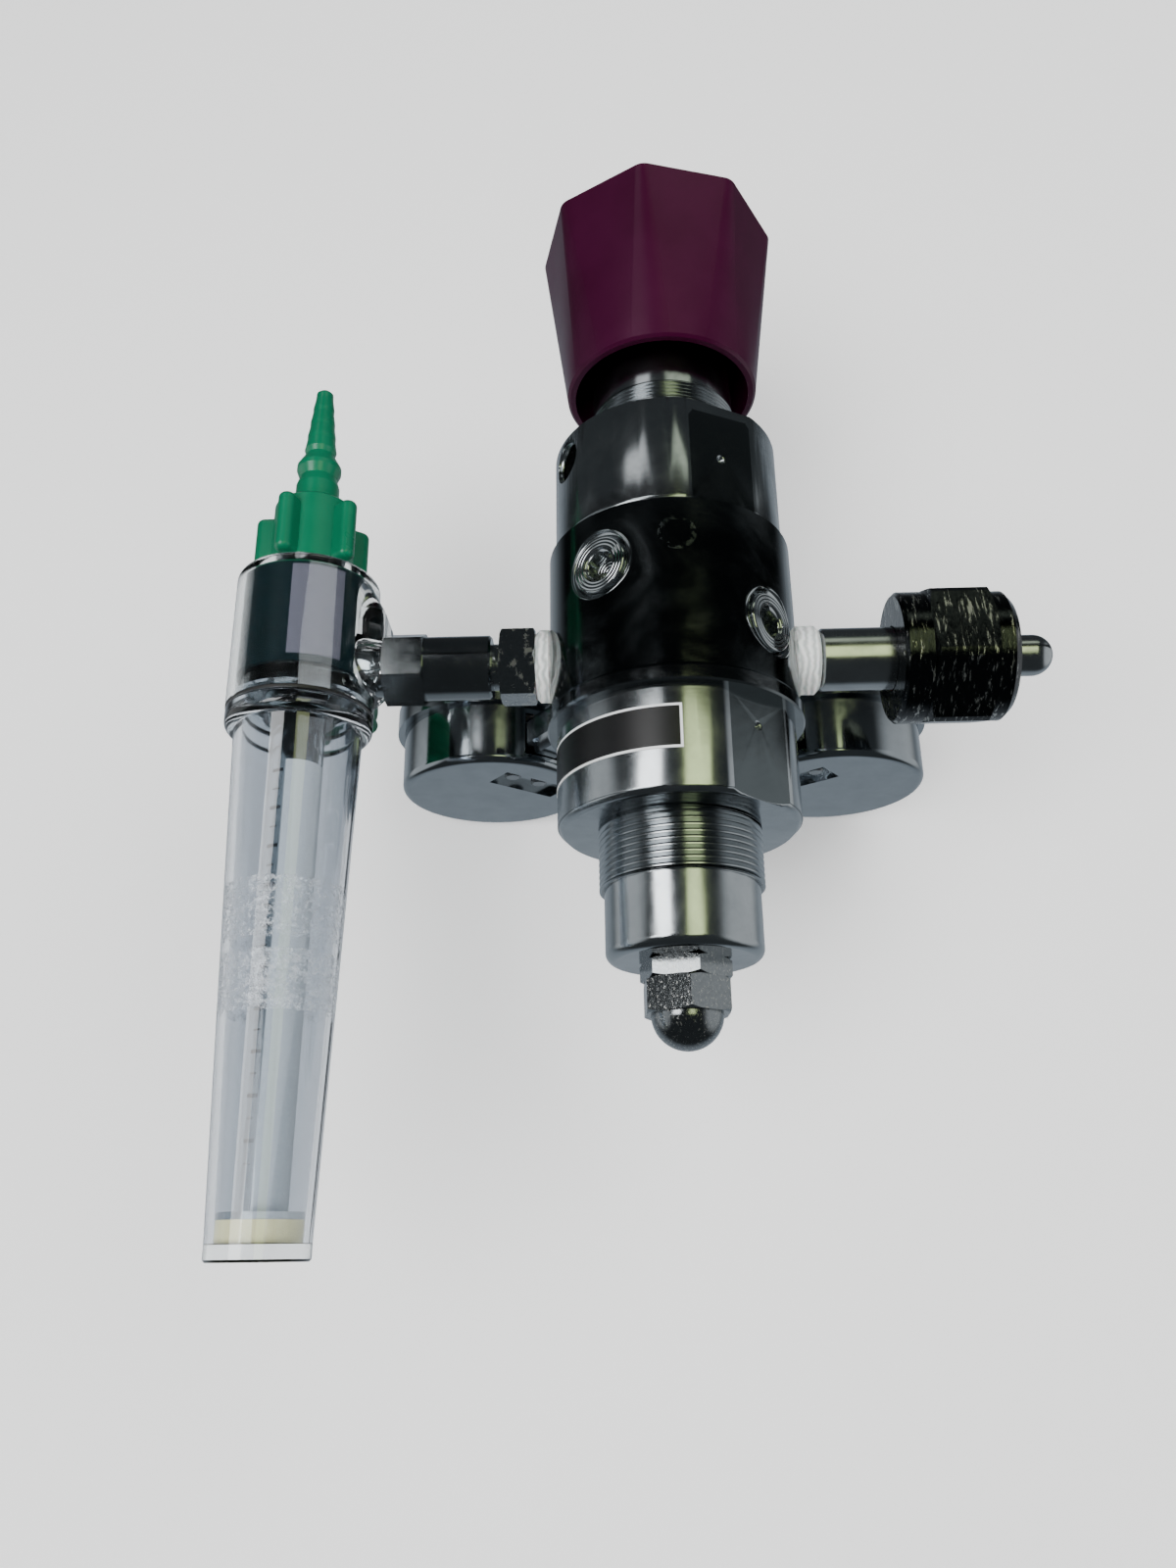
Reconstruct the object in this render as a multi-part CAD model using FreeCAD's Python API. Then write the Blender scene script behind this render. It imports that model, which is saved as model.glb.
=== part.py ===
import FreeCAD, Part
import math
import os

from FreeCAD import Rotation, Vector

# A two-stage gas regulator with a clear tube flowmeter on its outlet.
# The body's own frame is used while the pieces are made: Y runs up the body to the pressure knob,
# X runs out of the inlet port and Z points up, away from the two gauges. The body's axis crosses the
# port axis at zero. When a piece is written it is shifted along X, so that the frame's origin is the
# centre of the ball nose on the inlet nipple, where the regulator seats in a cylinder valve.
# All sizes are in millimetres.

# Clearances
THREAD_GAP = 0.05
RUNNING_GAP = 0.06
LOOSE_GAP = 0.25
SEAT_GAP = 0.05

# Central body, bar stock with a spigot at each end
BODY_D = 57.15
BODY_UP = 26.8
BODY_DOWN = 14.4
SPIGOT_D = 46.0
UPPER_SPIGOT = 8.0
LOWER_SPIGOT = 10.5
CHAMBER_D = 36.0
CHAMBER_DEPTH = 4.0
BODY_EDGE = 0.5

# Ports for quarter inch pipe thread, in the body's side
PORT_D = 13.7
PORT_DEPTH = 7.5
COUNTERSINK_DEPTH = 1.6
PASSAGE_D = 3.0
PASSAGE_OVERRUN = 0.5
PASSAGE_R = 15.5
INLET_ANGLE = 90.0
OUTLET_ANGLE = -90.0
INLET_PLUG_ANGLE = 47.4
STAGE_PLUG_ANGLE = -36.0
STAGE_PORT_Y = 13.2
INLET_GAUGE_ANGLE = 143.5
OUTLET_GAUGE_ANGLE = -142.0

# Port plugs
PLUG_RECESS = 0.1
PLUG_LENGTH = 8.2
PLUG_EDGE = 0.4
PLUG_LEAD_D = 8.3
PLUG_SOCKET_AF = 6.35
PLUG_SOCKET_DEPTH = 4.2

# Ring between the body and the lower bonnet
RING_D = 58.4
RING_THICKNESS = 3.5
RING_EDGE = 0.4

# Diaphragms and the plates that the springs stand on
DIAPHRAGM_MARGIN = 0.5
DIAPHRAGM_THICKNESS = 0.8
PLATE_THICKNESS = 2.0
PLATE_BOSS_D = 14.0
PLATE_BOSS_HEIGHT = 1.6

# Upper bonnet, which houses the delivery spring
BONNET_D = 54.0
BONNET_EDGE = 1.5
FLAT_DISTANCE = 25.6
UPPER_BONNET_LENGTH = 27.6
UPPER_NECK_D = 34.8
UPPER_NECK_LENGTH = 25.6
UPPER_THREAD_D = 35.6
UPPER_THREAD_LENGTH = 12.4
UPPER_SPRING_BORE_D = 28.0
BONNET_END_WALL = 8.5
UPPER_FLAT_ANGLE = 27.0
DIMPLE_D = 2.4
DIMPLE_DEPTH = 1.2
UPPER_DIMPLE_DROP = 14.4
VENT_D = 8.74
VENT_MOUTH_D = 10.3
VENT_ANGLE = -63.5
VENT_DROP = 6.2

# Lower bonnet, with the panel thread on its neck
LOWER_BONNET_LENGTH = 23.9
PANEL_THREAD_D = 36.0
PANEL_THREAD_LENGTH = 13.1
LOWER_NECK_D = 33.9
LOWER_NECK_LENGTH = 15.7
LOWER_NECK_EDGE = 2.2
LOWER_SPRING_BORE_D = 26.0
LOWER_FLAT_ANGLE = 39.5
LOWER_DIMPLE_DROP = 6.9

# Pressure adjusting screw and the button that it pushes
SCREW_D = 12.7
SCREW_TIP_Y = 68.0
SCREW_LENGTH = 25.0
SCREW_DRIVE_AF = 9.5
SCREW_DRIVE_LENGTH = 15.0
BUTTON_THICKNESS = 5.0
BUTTON_DIMPLE_D = 9.0
BUTTON_DIMPLE_DEPTH = 1.2
SCREW_TURNS = 8
SCREW_PITCH = 1.27

# Pressure knob, eight lobes at its top that run out to a round rim
KNOB_RIM_Y = 74.9
KNOB_HEIGHT = 48.9
KNOB_RIM_D = 47.8
KNOB_LOBES = 8
KNOB_LOBE_R = 30.2
KNOB_LOBE_ROUND = 4.2
KNOB_LOBE_PHASE = -8.0
KNOB_EDGE = 1.2
KNOB_WALL = 2.0
KNOB_TOP_WALL = 4.0
KNOB_CAVITY_TOP_D = 49.0
KNOB_HUB_D = 18.0
KNOB_RIB_THICKNESS = 1.6
KNOB_RIB_HEIGHT = 19.0
KNOB_SCREW_D = 5.0
KNOB_SCREW_HEAD_D = 9.5
KNOB_SCREW_HEAD = 3.0
KNOB_SCREW_LENGTH = 21.0
KNOB_SCREW_SOCKET_AF = 4.0
KNOB_RECESS_D = 16.0

# First stage set screw with its lock nut and cap nut
SET_SCREW_D = 9.525
SET_SCREW_TIP_Y = -55.0
LOCK_NUT_AF = 17.46
LOCK_NUT_HEIGHT = 4.1
LOCK_NUT_TURN = 14.0
CAP_NUT_AF = 17.46
CAP_NUT_HEX = 7.2
CAP_NUT_TURN = 2.5
CAP_NUT_DOME_D = 15.4
CAP_NUT_BORE_DEPTH = 10.5
CAP_NUT_DOME_RISE = 0.3
NUT_CORNER_EDGE = 1.0
SET_SCREW_END_GAP = 1.0
SET_BUTTON_THICKNESS = 4.0

# Springs
RANGE_WIRE = 3.2
RANGE_COIL_D = 20.8
RANGE_TURNS = 4.5
STAGE_WIRE = 3.0
STAGE_COIL_D = 19.0
STAGE_TURNS = 4.5
POPPET_WIRE = 0.8
POPPET_COIL_D = 6.4
POPPET_TURNS = 4

# Seats and poppets of the two stages
SEAT_D = 16.0
SEAT_THICKNESS = 6.0
SEAT_HOLE_D = 3.6
POPPET_CAVITY_D = 12.0
POPPET_HEAD_D = 11.8
POPPET_PIN_D = 2.6
POPPET_STEM_D = 4.0
FIRST_HEAD_LENGTH = 9.0
FIRST_CAVITY_TOP = 6.0
DELIVERY_HEAD_LENGTH = 6.0
DELIVERY_CAVITY_FLOOR = 11.0
POPPET_LIFT = 0.8

# Inlet nipple and its nut
PIPE_THREAD_D = 13.6
TAPE_D = 16.0
TAPE_EDGE = 1.0
INLET_TAPE_LENGTH = 6.6
NIPPLE_SHANK_D = 14.7
NIPPLE_SHANK_END = 61.5
NIPPLE_FLANGE_D = 19.4
NIPPLE_FLANGE = 4.0
NOSE_D = 9.6
NOSE_LENGTH = 17.4
NIPPLE_BORE_D = 3.2
FILTER_D = 8.0
FILTER_LENGTH = 6.0
NUT_START = 50.7
NUT_COLLAR_D = 30.4
NUT_COLLAR = 6.3
NUT_HEX_AF = 30.16
NUT_HEX_TURNED_D = 33.8
NUT_HEX_TURN = -22.0
NUT_HEX_EDGE = 1.6
NUT_HEX = 14.5
NUT_END_D = 29.9
NUT_END_EDGE = 1.6
NUT_END = 5.0
NUT_BORE_D = 23.8
NUT_SHOULDER = 8.0
NUT_EDGE = 0.8

# Outlet nipple and the coupling to the flowmeter
OUTLET_TAPE_LENGTH = 4.8
OUTLET_TAPE_D = 17.0
OUTLET_HEX_AF = 15.9
OUTLET_HEX = 8.2
OUTLET_HEX_TURN = -7.0
SMALL_HEX_EDGE = 0.8
OUTLET_NECK_D = 11.0
OUTLET_NECK = 2.0
OUTLET_MALE_D = 10.4
OUTLET_MALE = 9.0
OUTLET_BORE_D = 5.0
COUPLING_D = 15.1
COUPLING_BARREL = 15.5
COUPLING_HEX_AF = 15.9
COUPLING_HEX = 9.3
COUPLING_HEX_TURN = -31.7
COUPLING_MALE_D = 12.8
COUPLING_MALE = 9.0
COUPLING_EDGE = 0.5

# Flowmeter body, a clear shell over a moulded valve block
FLOW_SHELL_D = 33.6
FLOW_SHELL_WALL = 1.7
FLOW_SHELL_TOP = 22.8
FLOW_SHELL_BOTTOM = -10.9
FLOW_SHELL_ROOF = 1.9
FLOW_SHELL_EDGE = 1.2
BOSS_WIDTH = 19.0
BOSS_ROUND = 5.0
BOSS_UPPER_Y = 21.5
BOSS_FACE_UPPER_Y = 12.5
BOSS_FACE_LOWER_Y = -4.0
BOSS_LOWER_Y = -8.5
BOSS_SLANT = 4.6
FLOW_AXIS_INSET = 19.7
SLEEVE_GAP = 0.15
BLOCK_BOTTOM = -8.6
BLOCK_TOP_GAP = 0.2
SLEEVE_WALL = 1.0
SLEEVE_BOTTOM = -4.5
OUTLET_STEM_D = 14.2
OUTLET_STEM_TOP = 36.0
TUBE_BOSS_D = 16.4
TUBE_BOSS = 4.6
TUBE_SOCKET_DEPTH = 8.6
FLOAT_SEAT_D = 7.2
FLOAT_SEAT_END = -16.2
FLOW_PASSAGE_D = 4.0
FLOW_OUTLET_D = 5.0

# Clear cover tube, metering tube and float
RING_SEAL_THICKNESS = 0.8
RING_SEAL_WIDTH = 1.4
COVER_FLANGE_D = 33.4
COVER_FLANGE = 4.6
COVER_FLANGE_ROUND = 2.0
COVER_SPIGOT = 2.0
COVER_TOP_D = 29.0
COVER_END_D = 21.0
COVER_WALL = 1.8
COVER_END_Y = -125.4
METER_TOP_D = 12.2
METER_END_D = 10.6
METER_BORE_TOP_D = 7.7
METER_BORE_END_D = 9.2
METER_END_Y = -119.6
METER_FLANGE = 1.4
FLOAT_D = 7.4
FLOAT_TRAVEL = 95.0
END_DISC = 4.2
END_CAP = 3.4
END_CAP_EDGE = 0.5

# Flow control valve, on the side that faces the table
VALVE_Y = 8.0
VALVE_COLLAR_D = 11.0
VALVE_HEX_AF = 14.0
VALVE_HEX = 5.0
VALVE_STEM_D = 5.0
VALVE_TIP_Z = -3.2
VALVE_STEM_LENGTH = 37.6
VALVE_CHANNEL_Z = -7.0
FLOW_KNOB_D = 22.0
FLOW_KNOB_LOBES = 6
FLOW_KNOB_LOBE_D = 5.0
FLOW_KNOB_HEIGHT = 18.0
FLOW_KNOB_GAP = 1.2
FLOW_KNOB_EDGE = 1.0

# Barbed hose nipple and its lobed nut
WING_NUT_BOTTOM = 25.0
WING_NUT_HEIGHT = 19.0
WING_NUT_CORE_D = 19.6
WING_NUT_RIBS = 5
WING_NUT_RIB_WIDTH = 4.2
WING_NUT_RIB_D = 28.4
WING_NUT_RIB_PHASE = -18.5
WING_NUT_RIB_FOOT = 1.0
WING_NUT_RIB_DROP = 2.3
WING_NUT_RIB_EDGE = 1.4
WING_NUT_ROOF = 4.8
WING_NUT_EDGE = 0.7
NIPPLE_COLLAR_D = 13.6
NIPPLE_COLLAR = 3.0
BARB_NECK_D = 10.6
BARB_NECK_TOP = 50.8
BARB_WAIST_D = 9.2
BARB_BEAD_D = 10.9
BARB_BEAD_Y = 56.3
BARB_FIRST_Y = 61.7
BARB_PITCH = 4.3
BARB_FIRST_D = 7.9
BARB_LAST_D = 5.3
BARB_COUNT = 4
BARB_STEP = 0.9
BARB_TIP_D = 4.2
BARB_TIP_Y = 79.9
BARB_SLOPE = 1.4
BARB_WAIST_RISE = 2.4
BARB_BEAD_LOW = 0.8
BARB_BEAD_HIGH = 0.4
BARB_TIP_EDGE = 0.6
BARB_BORE_D = 2.6
WING_NUT_TURNS = 7
WING_NUT_PITCH = 1.588

# Gauges, two alike but for the side of the stem that their back screws stand on
INLET_GAUGE_SIDE = -1
OUTLET_GAUGE_SIDE = 1
GAUGE_REACH = 77.3
GAUGE_CASE_D = 50.0
GAUGE_CASE_BACK = -8.6
GAUGE_CASE_FRONT = 12.0
GAUGE_CASE_WALL = 0.9
GAUGE_CASE_ROUND = 2.0
GAUGE_BEZEL_WALL = 1.9
GAUGE_BEZEL_BACK = 8.1
GAUGE_BEZEL_LIP = 0.9
GAUGE_BEZEL_INSET = 2.4
GAUGE_BEZEL_EDGE = 1.2
GAUGE_LENS = 2.3
GAUGE_DIAL_THICKNESS = 0.6
GAUGE_DIAL_DROP = 3.2
GAUGE_POCKET_WIDTH = 20.0
GAUGE_POCKET_HEIGHT = 8.8
GAUGE_POCKET_DEPTH = 1.8
GAUGE_POCKET_Z = 11.8
GAUGE_POCKET_SIDE = 3.9
GAUGE_SCREW_SPACING = 8.4
GAUGE_SCREW_SIDE = 1.9
GAUGE_SCREW_Z = 13.2
GAUGE_SCREW_D = 3.2
GAUGE_SCREW_HEAD_D = 4.4
GAUGE_SCREW_HEAD = 1.5
GAUGE_SCREW_LENGTH = 4.2
GAUGE_SCREW_END_GAP = 0.5
STEM_AF = 11.1
STEM_CORNER_D = 12.6
STEM_START = 16.0
STEM_SHOW = 3.7
STEM_END_GAP = 0.9
SOCKET_WIDTH = 16.0
SOCKET_FRONT = -2.0
SOCKET_LOW = 5.0
SOCKET_HIGH = 18.0
BRIDGE_WIDTH = 8.0
BRIDGE_BACK = -6.0
BRIDGE_LOW = -3.5
ARBOR_D = 1.8
POINTER_HUB_D = 4.6
POINTER_THICKNESS = 0.8
POINTER_GAP = 0.6
POINTER_LENGTH = 17.5
POINTER_TAIL = 7.0
POINTER_WIDTH = 1.6
POINTER_TIP_WIDTH = 0.5
POINTER_REST_ANGLE = -45.0

X_AXIS = Vector(1, 0, 0)
Y_AXIS = Vector(0, 1, 0)
Z_AXIS = Vector(0, 0, 1)
CENTRE = Vector(0, 0, 0)
FULL_TURN = 360.0


# Small shape helpers

def turned(outline, along=Y_AXIS, centre=CENTRE):
    """Turn an outline of (place along the axis, radius) points into a solid."""
    if along == Y_AXIS:
        points = [Vector(radius, place, 0) for place, radius in outline]
    elif along == X_AXIS:
        points = [Vector(place, radius, 0) for place, radius in outline]
    else:
        points = [Vector(radius, 0, place) for place, radius in outline]
    wire = Part.makePolygon(points + [points[0]])
    solid = Part.Face(wire).revolve(CENTRE, along, FULL_TURN)
    if solid.Volume < 0:
        solid.reverse()
    solid.translate(centre)
    return solid


def rod(radius, start, end, along=Y_AXIS, centre=CENTRE):
    """A cylinder about an axis, from one place along it to another."""
    low = min(start, end)
    base = centre + along * low
    return Part.makeCylinder(radius, abs(end - start), base, along)


def tube(outer, inner, start, end, along=Y_AXIS, centre=CENTRE):
    """A round wall about an axis."""
    return rod(outer, start, end, along, centre).cut(rod(inner, start, end, along, centre))


def box_between(low, high):
    """A box given by its lowest and highest corners."""
    size = high - low
    return Part.makeBox(size.x, size.y, size.z, low)


def prism(flat_points, start, end, along):
    """Extrude a closed outline that lies across an axis."""
    wire = Part.makePolygon(flat_points + [flat_points[0]])
    face = Part.Face(wire)
    face.translate(along * start)
    return face.extrude(along * (end - start))


def hexagon(across_flats, start, end, along=Y_AXIS, turn=0.0):
    """A hexagonal prism about an axis through zero."""
    corner = across_flats / math.sqrt(3.0)
    points = []
    for index in range(6):
        angle = math.radians(60.0 * index + turn)
        points.append(across(along, corner * math.sin(angle), corner * math.cos(angle)))
    return prism(points, start, end, along)


def across(along, side, up):
    """A point in the plane across an axis, by its sideways and upward distances."""
    if along == Y_AXIS:
        return Vector(side, 0, up)
    if along == X_AXIS:
        return Vector(0, side, up)
    return Vector(side, up, 0)


def turned_hexagon(across_flats, corner_d, edge, start, end, along=Y_AXIS, turn=0.0):
    """A hexagon whose corners are turned down at both ends, as nuts are."""
    radius = corner_d / 2
    corners = turned([(start, 0), (start, radius - edge), (start + edge / 2, radius),
                      (end - edge / 2, radius), (end, radius - edge), (end, 0)], along)
    return hexagon(across_flats, start, end, along, turn).common(corners)


def rim_edges(solid, place, radius, along=Y_AXIS, centre=CENTRE):
    """The circular edges of a solid at one place along an axis and of one radius."""
    found = []
    for edge in solid.Edges:
        curve = edge.Curve
        if not isinstance(curve, Part.Circle):
            continue
        offset = curve.Center - centre
        level = offset.dot(along)
        sideways = (offset - along * level).Length
        if abs(level - place) < 1e-4 and abs(curve.Radius - radius) < 1e-4 and sideways < 1e-4:
            found.append(edge)
    return found


def rounded(solid, size, place, radius, along=Y_AXIS, centre=CENTRE):
    """Round one circular rim of a solid."""
    return solid.makeFillet(size, rim_edges(solid, place, radius, along, centre))


def chamfered(solid, size, place, radius, along=Y_AXIS, centre=CENTRE):
    """Chamfer one circular rim of a solid."""
    return solid.makeChamfer(size, rim_edges(solid, place, radius, along, centre))


def about_y(shape, angle):
    """Swing a shape about the body's axis, so that what pointed up points at the angle."""
    swung = shape.copy()
    swung.rotate(CENTRE, Y_AXIS, angle)
    return swung


def coil(coil_d, wire_d, start, end, turns):
    """A helical spring about the body's axis, between two faces."""
    low = min(start, end) + wire_d / 2 + SEAT_GAP
    length = abs(end - start) - wire_d - 2 * SEAT_GAP
    helix = Part.makeHelix(length / turns, length, coil_d / 2)
    ring = Part.Wire(Part.makeCircle(wire_d / 2, Vector(coil_d / 2, 0, 0), Y_AXIS))
    spring = Part.Wire(helix.Edges).makePipeShell([ring], True, True)
    spring.rotate(CENTRE, X_AXIS, -90)
    spring.translate(Vector(0, low, 0))
    return spring


# Levels that follow from the sizes, along the body's axis

BODY_R = BODY_D / 2
THREAD_START_R = BODY_R - COUNTERSINK_DEPTH
PORT_FLOOR_R = THREAD_START_R - PORT_DEPTH
upper_face = BODY_UP + UPPER_SPIGOT
upper_chamber_floor = upper_face - CHAMBER_DEPTH
upper_shoulder = upper_face + DIAPHRAGM_THICKNESS
upper_bonnet_top = BODY_UP + UPPER_BONNET_LENGTH
upper_neck_top = upper_bonnet_top + UPPER_NECK_LENGTH
lower_face = -BODY_DOWN - LOWER_SPIGOT
lower_chamber_floor = lower_face + CHAMBER_DEPTH
lower_shoulder = lower_face - DIAPHRAGM_THICKNESS
lower_bonnet_start = -BODY_DOWN - RING_THICKNESS
lower_bonnet_end = lower_bonnet_start - LOWER_BONNET_LENGTH
panel_thread_end = lower_bonnet_end - PANEL_THREAD_LENGTH
lower_neck_end = panel_thread_end - LOWER_NECK_LENGTH
nose_centre = NIPPLE_SHANK_END + NIPPLE_FLANGE + NOSE_LENGTH
shift_to_row = Vector(-nose_centre, 0, 0)


# Central body

def port_cut(angle, port_y):
    """Countersink of 90 degrees and tapped bore of one port, pointing up before it is swung."""
    depth = COUNTERSINK_DEPTH + 1
    sink = Part.makeCone(PORT_D / 2, PORT_D / 2 + depth, depth, Vector(0, 0, THREAD_START_R), Z_AXIS)
    bore = rod(PORT_D / 2, PORT_FLOOR_R, THREAD_START_R, Z_AXIS)
    cut = sink.fuse(bore)
    cut.translate(Vector(0, port_y, 0))
    return about_y(cut, angle)


def radial_passage(angle, place_y, inner_r):
    """A drilling from a port's floor towards the body's axis."""
    drill = rod(PASSAGE_D / 2, inner_r, PORT_FLOOR_R + PASSAGE_OVERRUN, Z_AXIS)
    drill.translate(Vector(0, place_y, 0))
    return about_y(drill, angle)


def axial_passage(angle, start, end):
    """A drilling along the body, beside the valve cavities."""
    place = Vector(0, 0, PASSAGE_R)
    return about_y(rod(PASSAGE_D / 2, start, end, Y_AXIS, place), angle)


def make_body():
    """The bar stock body with its ports, chambers, valve cavities and gas passages."""
    spigot_r = SPIGOT_D / 2
    body = turned([(lower_face, 0), (lower_face, spigot_r), (-BODY_DOWN, spigot_r),
                   (-BODY_DOWN, BODY_R - BODY_EDGE), (-BODY_DOWN + BODY_EDGE, BODY_R),
                   (BODY_UP - BODY_EDGE, BODY_R), (BODY_UP, BODY_R - BODY_EDGE),
                   (BODY_UP, spigot_r), (upper_face, spigot_r), (upper_face, 0)])
    seat_r = SEAT_D / 2 + THREAD_GAP
    cuts = [rod(CHAMBER_D / 2, upper_chamber_floor, upper_face),
            rod(CHAMBER_D / 2, lower_face, lower_chamber_floor),
            rod(seat_r, upper_chamber_floor - SEAT_THICKNESS, upper_chamber_floor),
            rod(seat_r, lower_chamber_floor, lower_chamber_floor + SEAT_THICKNESS),
            rod(POPPET_CAVITY_D / 2, DELIVERY_CAVITY_FLOOR, upper_chamber_floor),
            rod(POPPET_CAVITY_D / 2, lower_chamber_floor, FIRST_CAVITY_TOP)]
    for angle in (INLET_ANGLE, INLET_PLUG_ANGLE, INLET_GAUGE_ANGLE):
        cuts.append(port_cut(angle, 0))
        cuts.append(radial_passage(angle, 0, 0))
    for angle in (OUTLET_ANGLE, OUTLET_GAUGE_ANGLE):
        cuts.append(port_cut(angle, 0))
        cuts.append(radial_passage(angle, 0, PASSAGE_R))
        cuts.append(axial_passage(angle, 0, upper_chamber_floor))
    cuts.append(port_cut(STAGE_PLUG_ANGLE, STAGE_PORT_Y))
    cuts.append(radial_passage(STAGE_PLUG_ANGLE, STAGE_PORT_Y, 0))
    cuts.append(axial_passage(STAGE_PLUG_ANGLE, lower_chamber_floor, STAGE_PORT_Y))
    return body.cut(cuts)


def make_body_ring():
    """The polished ring round the lower spigot."""
    outer = RING_D / 2
    inner = SPIGOT_D / 2 + THREAD_GAP
    top = -BODY_DOWN
    return turned([(top, inner), (top, outer - RING_EDGE), (top - RING_EDGE, outer),
                   (lower_bonnet_start + RING_EDGE, outer), (lower_bonnet_start, outer - RING_EDGE),
                   (lower_bonnet_start, inner)])


def make_port_plug(angle, port_y):
    """A pipe plug with a hexagon socket and its lead-in, screwed in flush with the body's crest."""
    top = BODY_R - PLUG_RECESS
    plug = rod(PIPE_THREAD_D / 2, top - PLUG_LENGTH, top, Z_AXIS)
    plug = chamfered(plug, PLUG_EDGE, top, PIPE_THREAD_D / 2, Z_AXIS)
    socket = hexagon(PLUG_SOCKET_AF, top - PLUG_SOCKET_DEPTH, top, Z_AXIS)
    lead = (PLUG_LEAD_D - PLUG_SOCKET_AF) / 2
    lead_in = Part.makeCone(PLUG_SOCKET_AF / 2, PLUG_LEAD_D / 2, lead, Vector(0, 0, top - lead), Z_AXIS)
    plug = plug.cut([socket, lead_in])
    plug.translate(Vector(0, port_y, 0))
    return about_y(plug, angle)


def make_port_plugs():
    """The two plugs, at the inlet side and at the interstage port."""
    return Part.makeCompound([make_port_plug(INLET_PLUG_ANGLE, 0),
                              make_port_plug(STAGE_PLUG_ANGLE, STAGE_PORT_Y)])


# Bonnets

def flat_cut(angle, start, end):
    """The material that a wrench flat takes off a bonnet."""
    reach = BONNET_D / 2 + 1
    block = box_between(Vector(-reach, start, FLAT_DISTANCE), Vector(reach, end, reach))
    return about_y(block, angle)


def dimple_cut(angle, place_y):
    """A drilled spot in the middle of a wrench flat."""
    spot = Part.makeCone(0, DIMPLE_D / 2, DIMPLE_DEPTH,
                         Vector(0, place_y, FLAT_DISTANCE - DIMPLE_DEPTH), Z_AXIS)
    return about_y(spot, angle)


def make_upper_bonnet():
    """Spring bonnet with a smooth neck that the knob's skirt runs over."""
    outer = BONNET_D / 2
    neck = UPPER_NECK_D / 2
    thread = UPPER_THREAD_D / 2
    skirt = SPIGOT_D / 2 + THREAD_GAP
    bore = UPPER_SPRING_BORE_D / 2
    hole = SCREW_D / 2 + RUNNING_GAP
    inner_roof = upper_neck_top - BONNET_END_WALL
    thread_top = upper_bonnet_top + UPPER_THREAD_LENGTH
    bonnet = turned([(BODY_UP, skirt), (BODY_UP, outer - BONNET_EDGE),
                     (BODY_UP + BONNET_EDGE, outer), (upper_bonnet_top, outer),
                     (upper_bonnet_top, thread), (thread_top, thread), (thread_top, neck),
                     (upper_neck_top - BODY_EDGE, neck), (upper_neck_top, neck - BODY_EDGE),
                     (upper_neck_top, hole), (inner_roof, hole), (inner_roof, bore),
                     (upper_shoulder, bore), (upper_shoulder, skirt)])
    vent_y = upper_bonnet_top - VENT_DROP
    vent = rod(VENT_D / 2, 0, outer, Z_AXIS)
    mouth_depth = (VENT_MOUTH_D - VENT_D) / 2
    flare = Part.makeCone(VENT_D / 2, VENT_MOUTH_D / 2, mouth_depth,
                          Vector(0, 0, outer - 2 * mouth_depth), Z_AXIS)
    mouth = rod(VENT_MOUTH_D / 2, outer - mouth_depth, outer + 1, Z_AXIS)
    vent = vent.fuse([flare, mouth])
    vent.translate(Vector(0, vent_y, 0))
    start = BODY_UP - 1
    end = upper_bonnet_top + 1
    cuts = [about_y(vent, VENT_ANGLE),
            flat_cut(UPPER_FLAT_ANGLE, start, end),
            flat_cut(UPPER_FLAT_ANGLE + 180, start, end),
            dimple_cut(UPPER_FLAT_ANGLE, upper_bonnet_top - UPPER_DIMPLE_DROP)]
    return bonnet.cut(cuts)


def make_lower_bonnet():
    """First stage bonnet with the panel thread and a plain neck below it."""
    outer = BONNET_D / 2
    thread = PANEL_THREAD_D / 2
    neck = LOWER_NECK_D / 2
    skirt = SPIGOT_D / 2 + THREAD_GAP
    bore = LOWER_SPRING_BORE_D / 2
    hole = SET_SCREW_D / 2 + THREAD_GAP
    inner_floor = lower_neck_end + BONNET_END_WALL
    bonnet = turned([(lower_bonnet_start, skirt), (lower_bonnet_start, outer),
                     (lower_bonnet_end + BONNET_EDGE, outer), (lower_bonnet_end, outer - BONNET_EDGE),
                     (lower_bonnet_end, thread), (panel_thread_end, thread), (panel_thread_end, neck),
                     (lower_neck_end, neck), (lower_neck_end, hole), (inner_floor, hole),
                     (inner_floor, bore), (lower_shoulder, bore), (lower_shoulder, skirt)])
    bonnet = rounded(bonnet, LOWER_NECK_EDGE, lower_neck_end, neck)
    start = lower_bonnet_end - 0.01
    end = lower_bonnet_start + 1
    cuts = [flat_cut(LOWER_FLAT_ANGLE, start, end),
            flat_cut(LOWER_FLAT_ANGLE + 180, start, end),
            dimple_cut(LOWER_FLAT_ANGLE, lower_bonnet_start - LOWER_DIMPLE_DROP)]
    return bonnet.cut(cuts)


# Diaphragms, spring plates, springs and valves inside the two stages

button_top = SCREW_TIP_Y + BUTTON_DIMPLE_DEPTH - SEAT_GAP
button_bottom = button_top - BUTTON_THICKNESS
set_button_low = SET_SCREW_TIP_Y - BUTTON_DIMPLE_DEPTH + SEAT_GAP
set_button_high = set_button_low + SET_BUTTON_THICKNESS


def make_diaphragm(seat_face, direction):
    """A round diaphragm that lies on a spigot's end face."""
    far_face = seat_face + direction * DIAPHRAGM_THICKNESS
    return rod(SPIGOT_D / 2 - DIAPHRAGM_MARGIN, seat_face, far_face)


def make_spring_plate(seat_face, direction, bore_d):
    """The plate between a diaphragm and its spring, with a boss inside the coil."""
    plate_d = bore_d - 2 * LOOSE_GAP
    plate = rod(plate_d / 2, seat_face, seat_face + direction * PLATE_THICKNESS)
    boss = rod(PLATE_BOSS_D / 2, seat_face, seat_face + direction * (PLATE_THICKNESS + PLATE_BOSS_HEIGHT))
    return plate.fuse(boss).removeSplitter()


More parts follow.
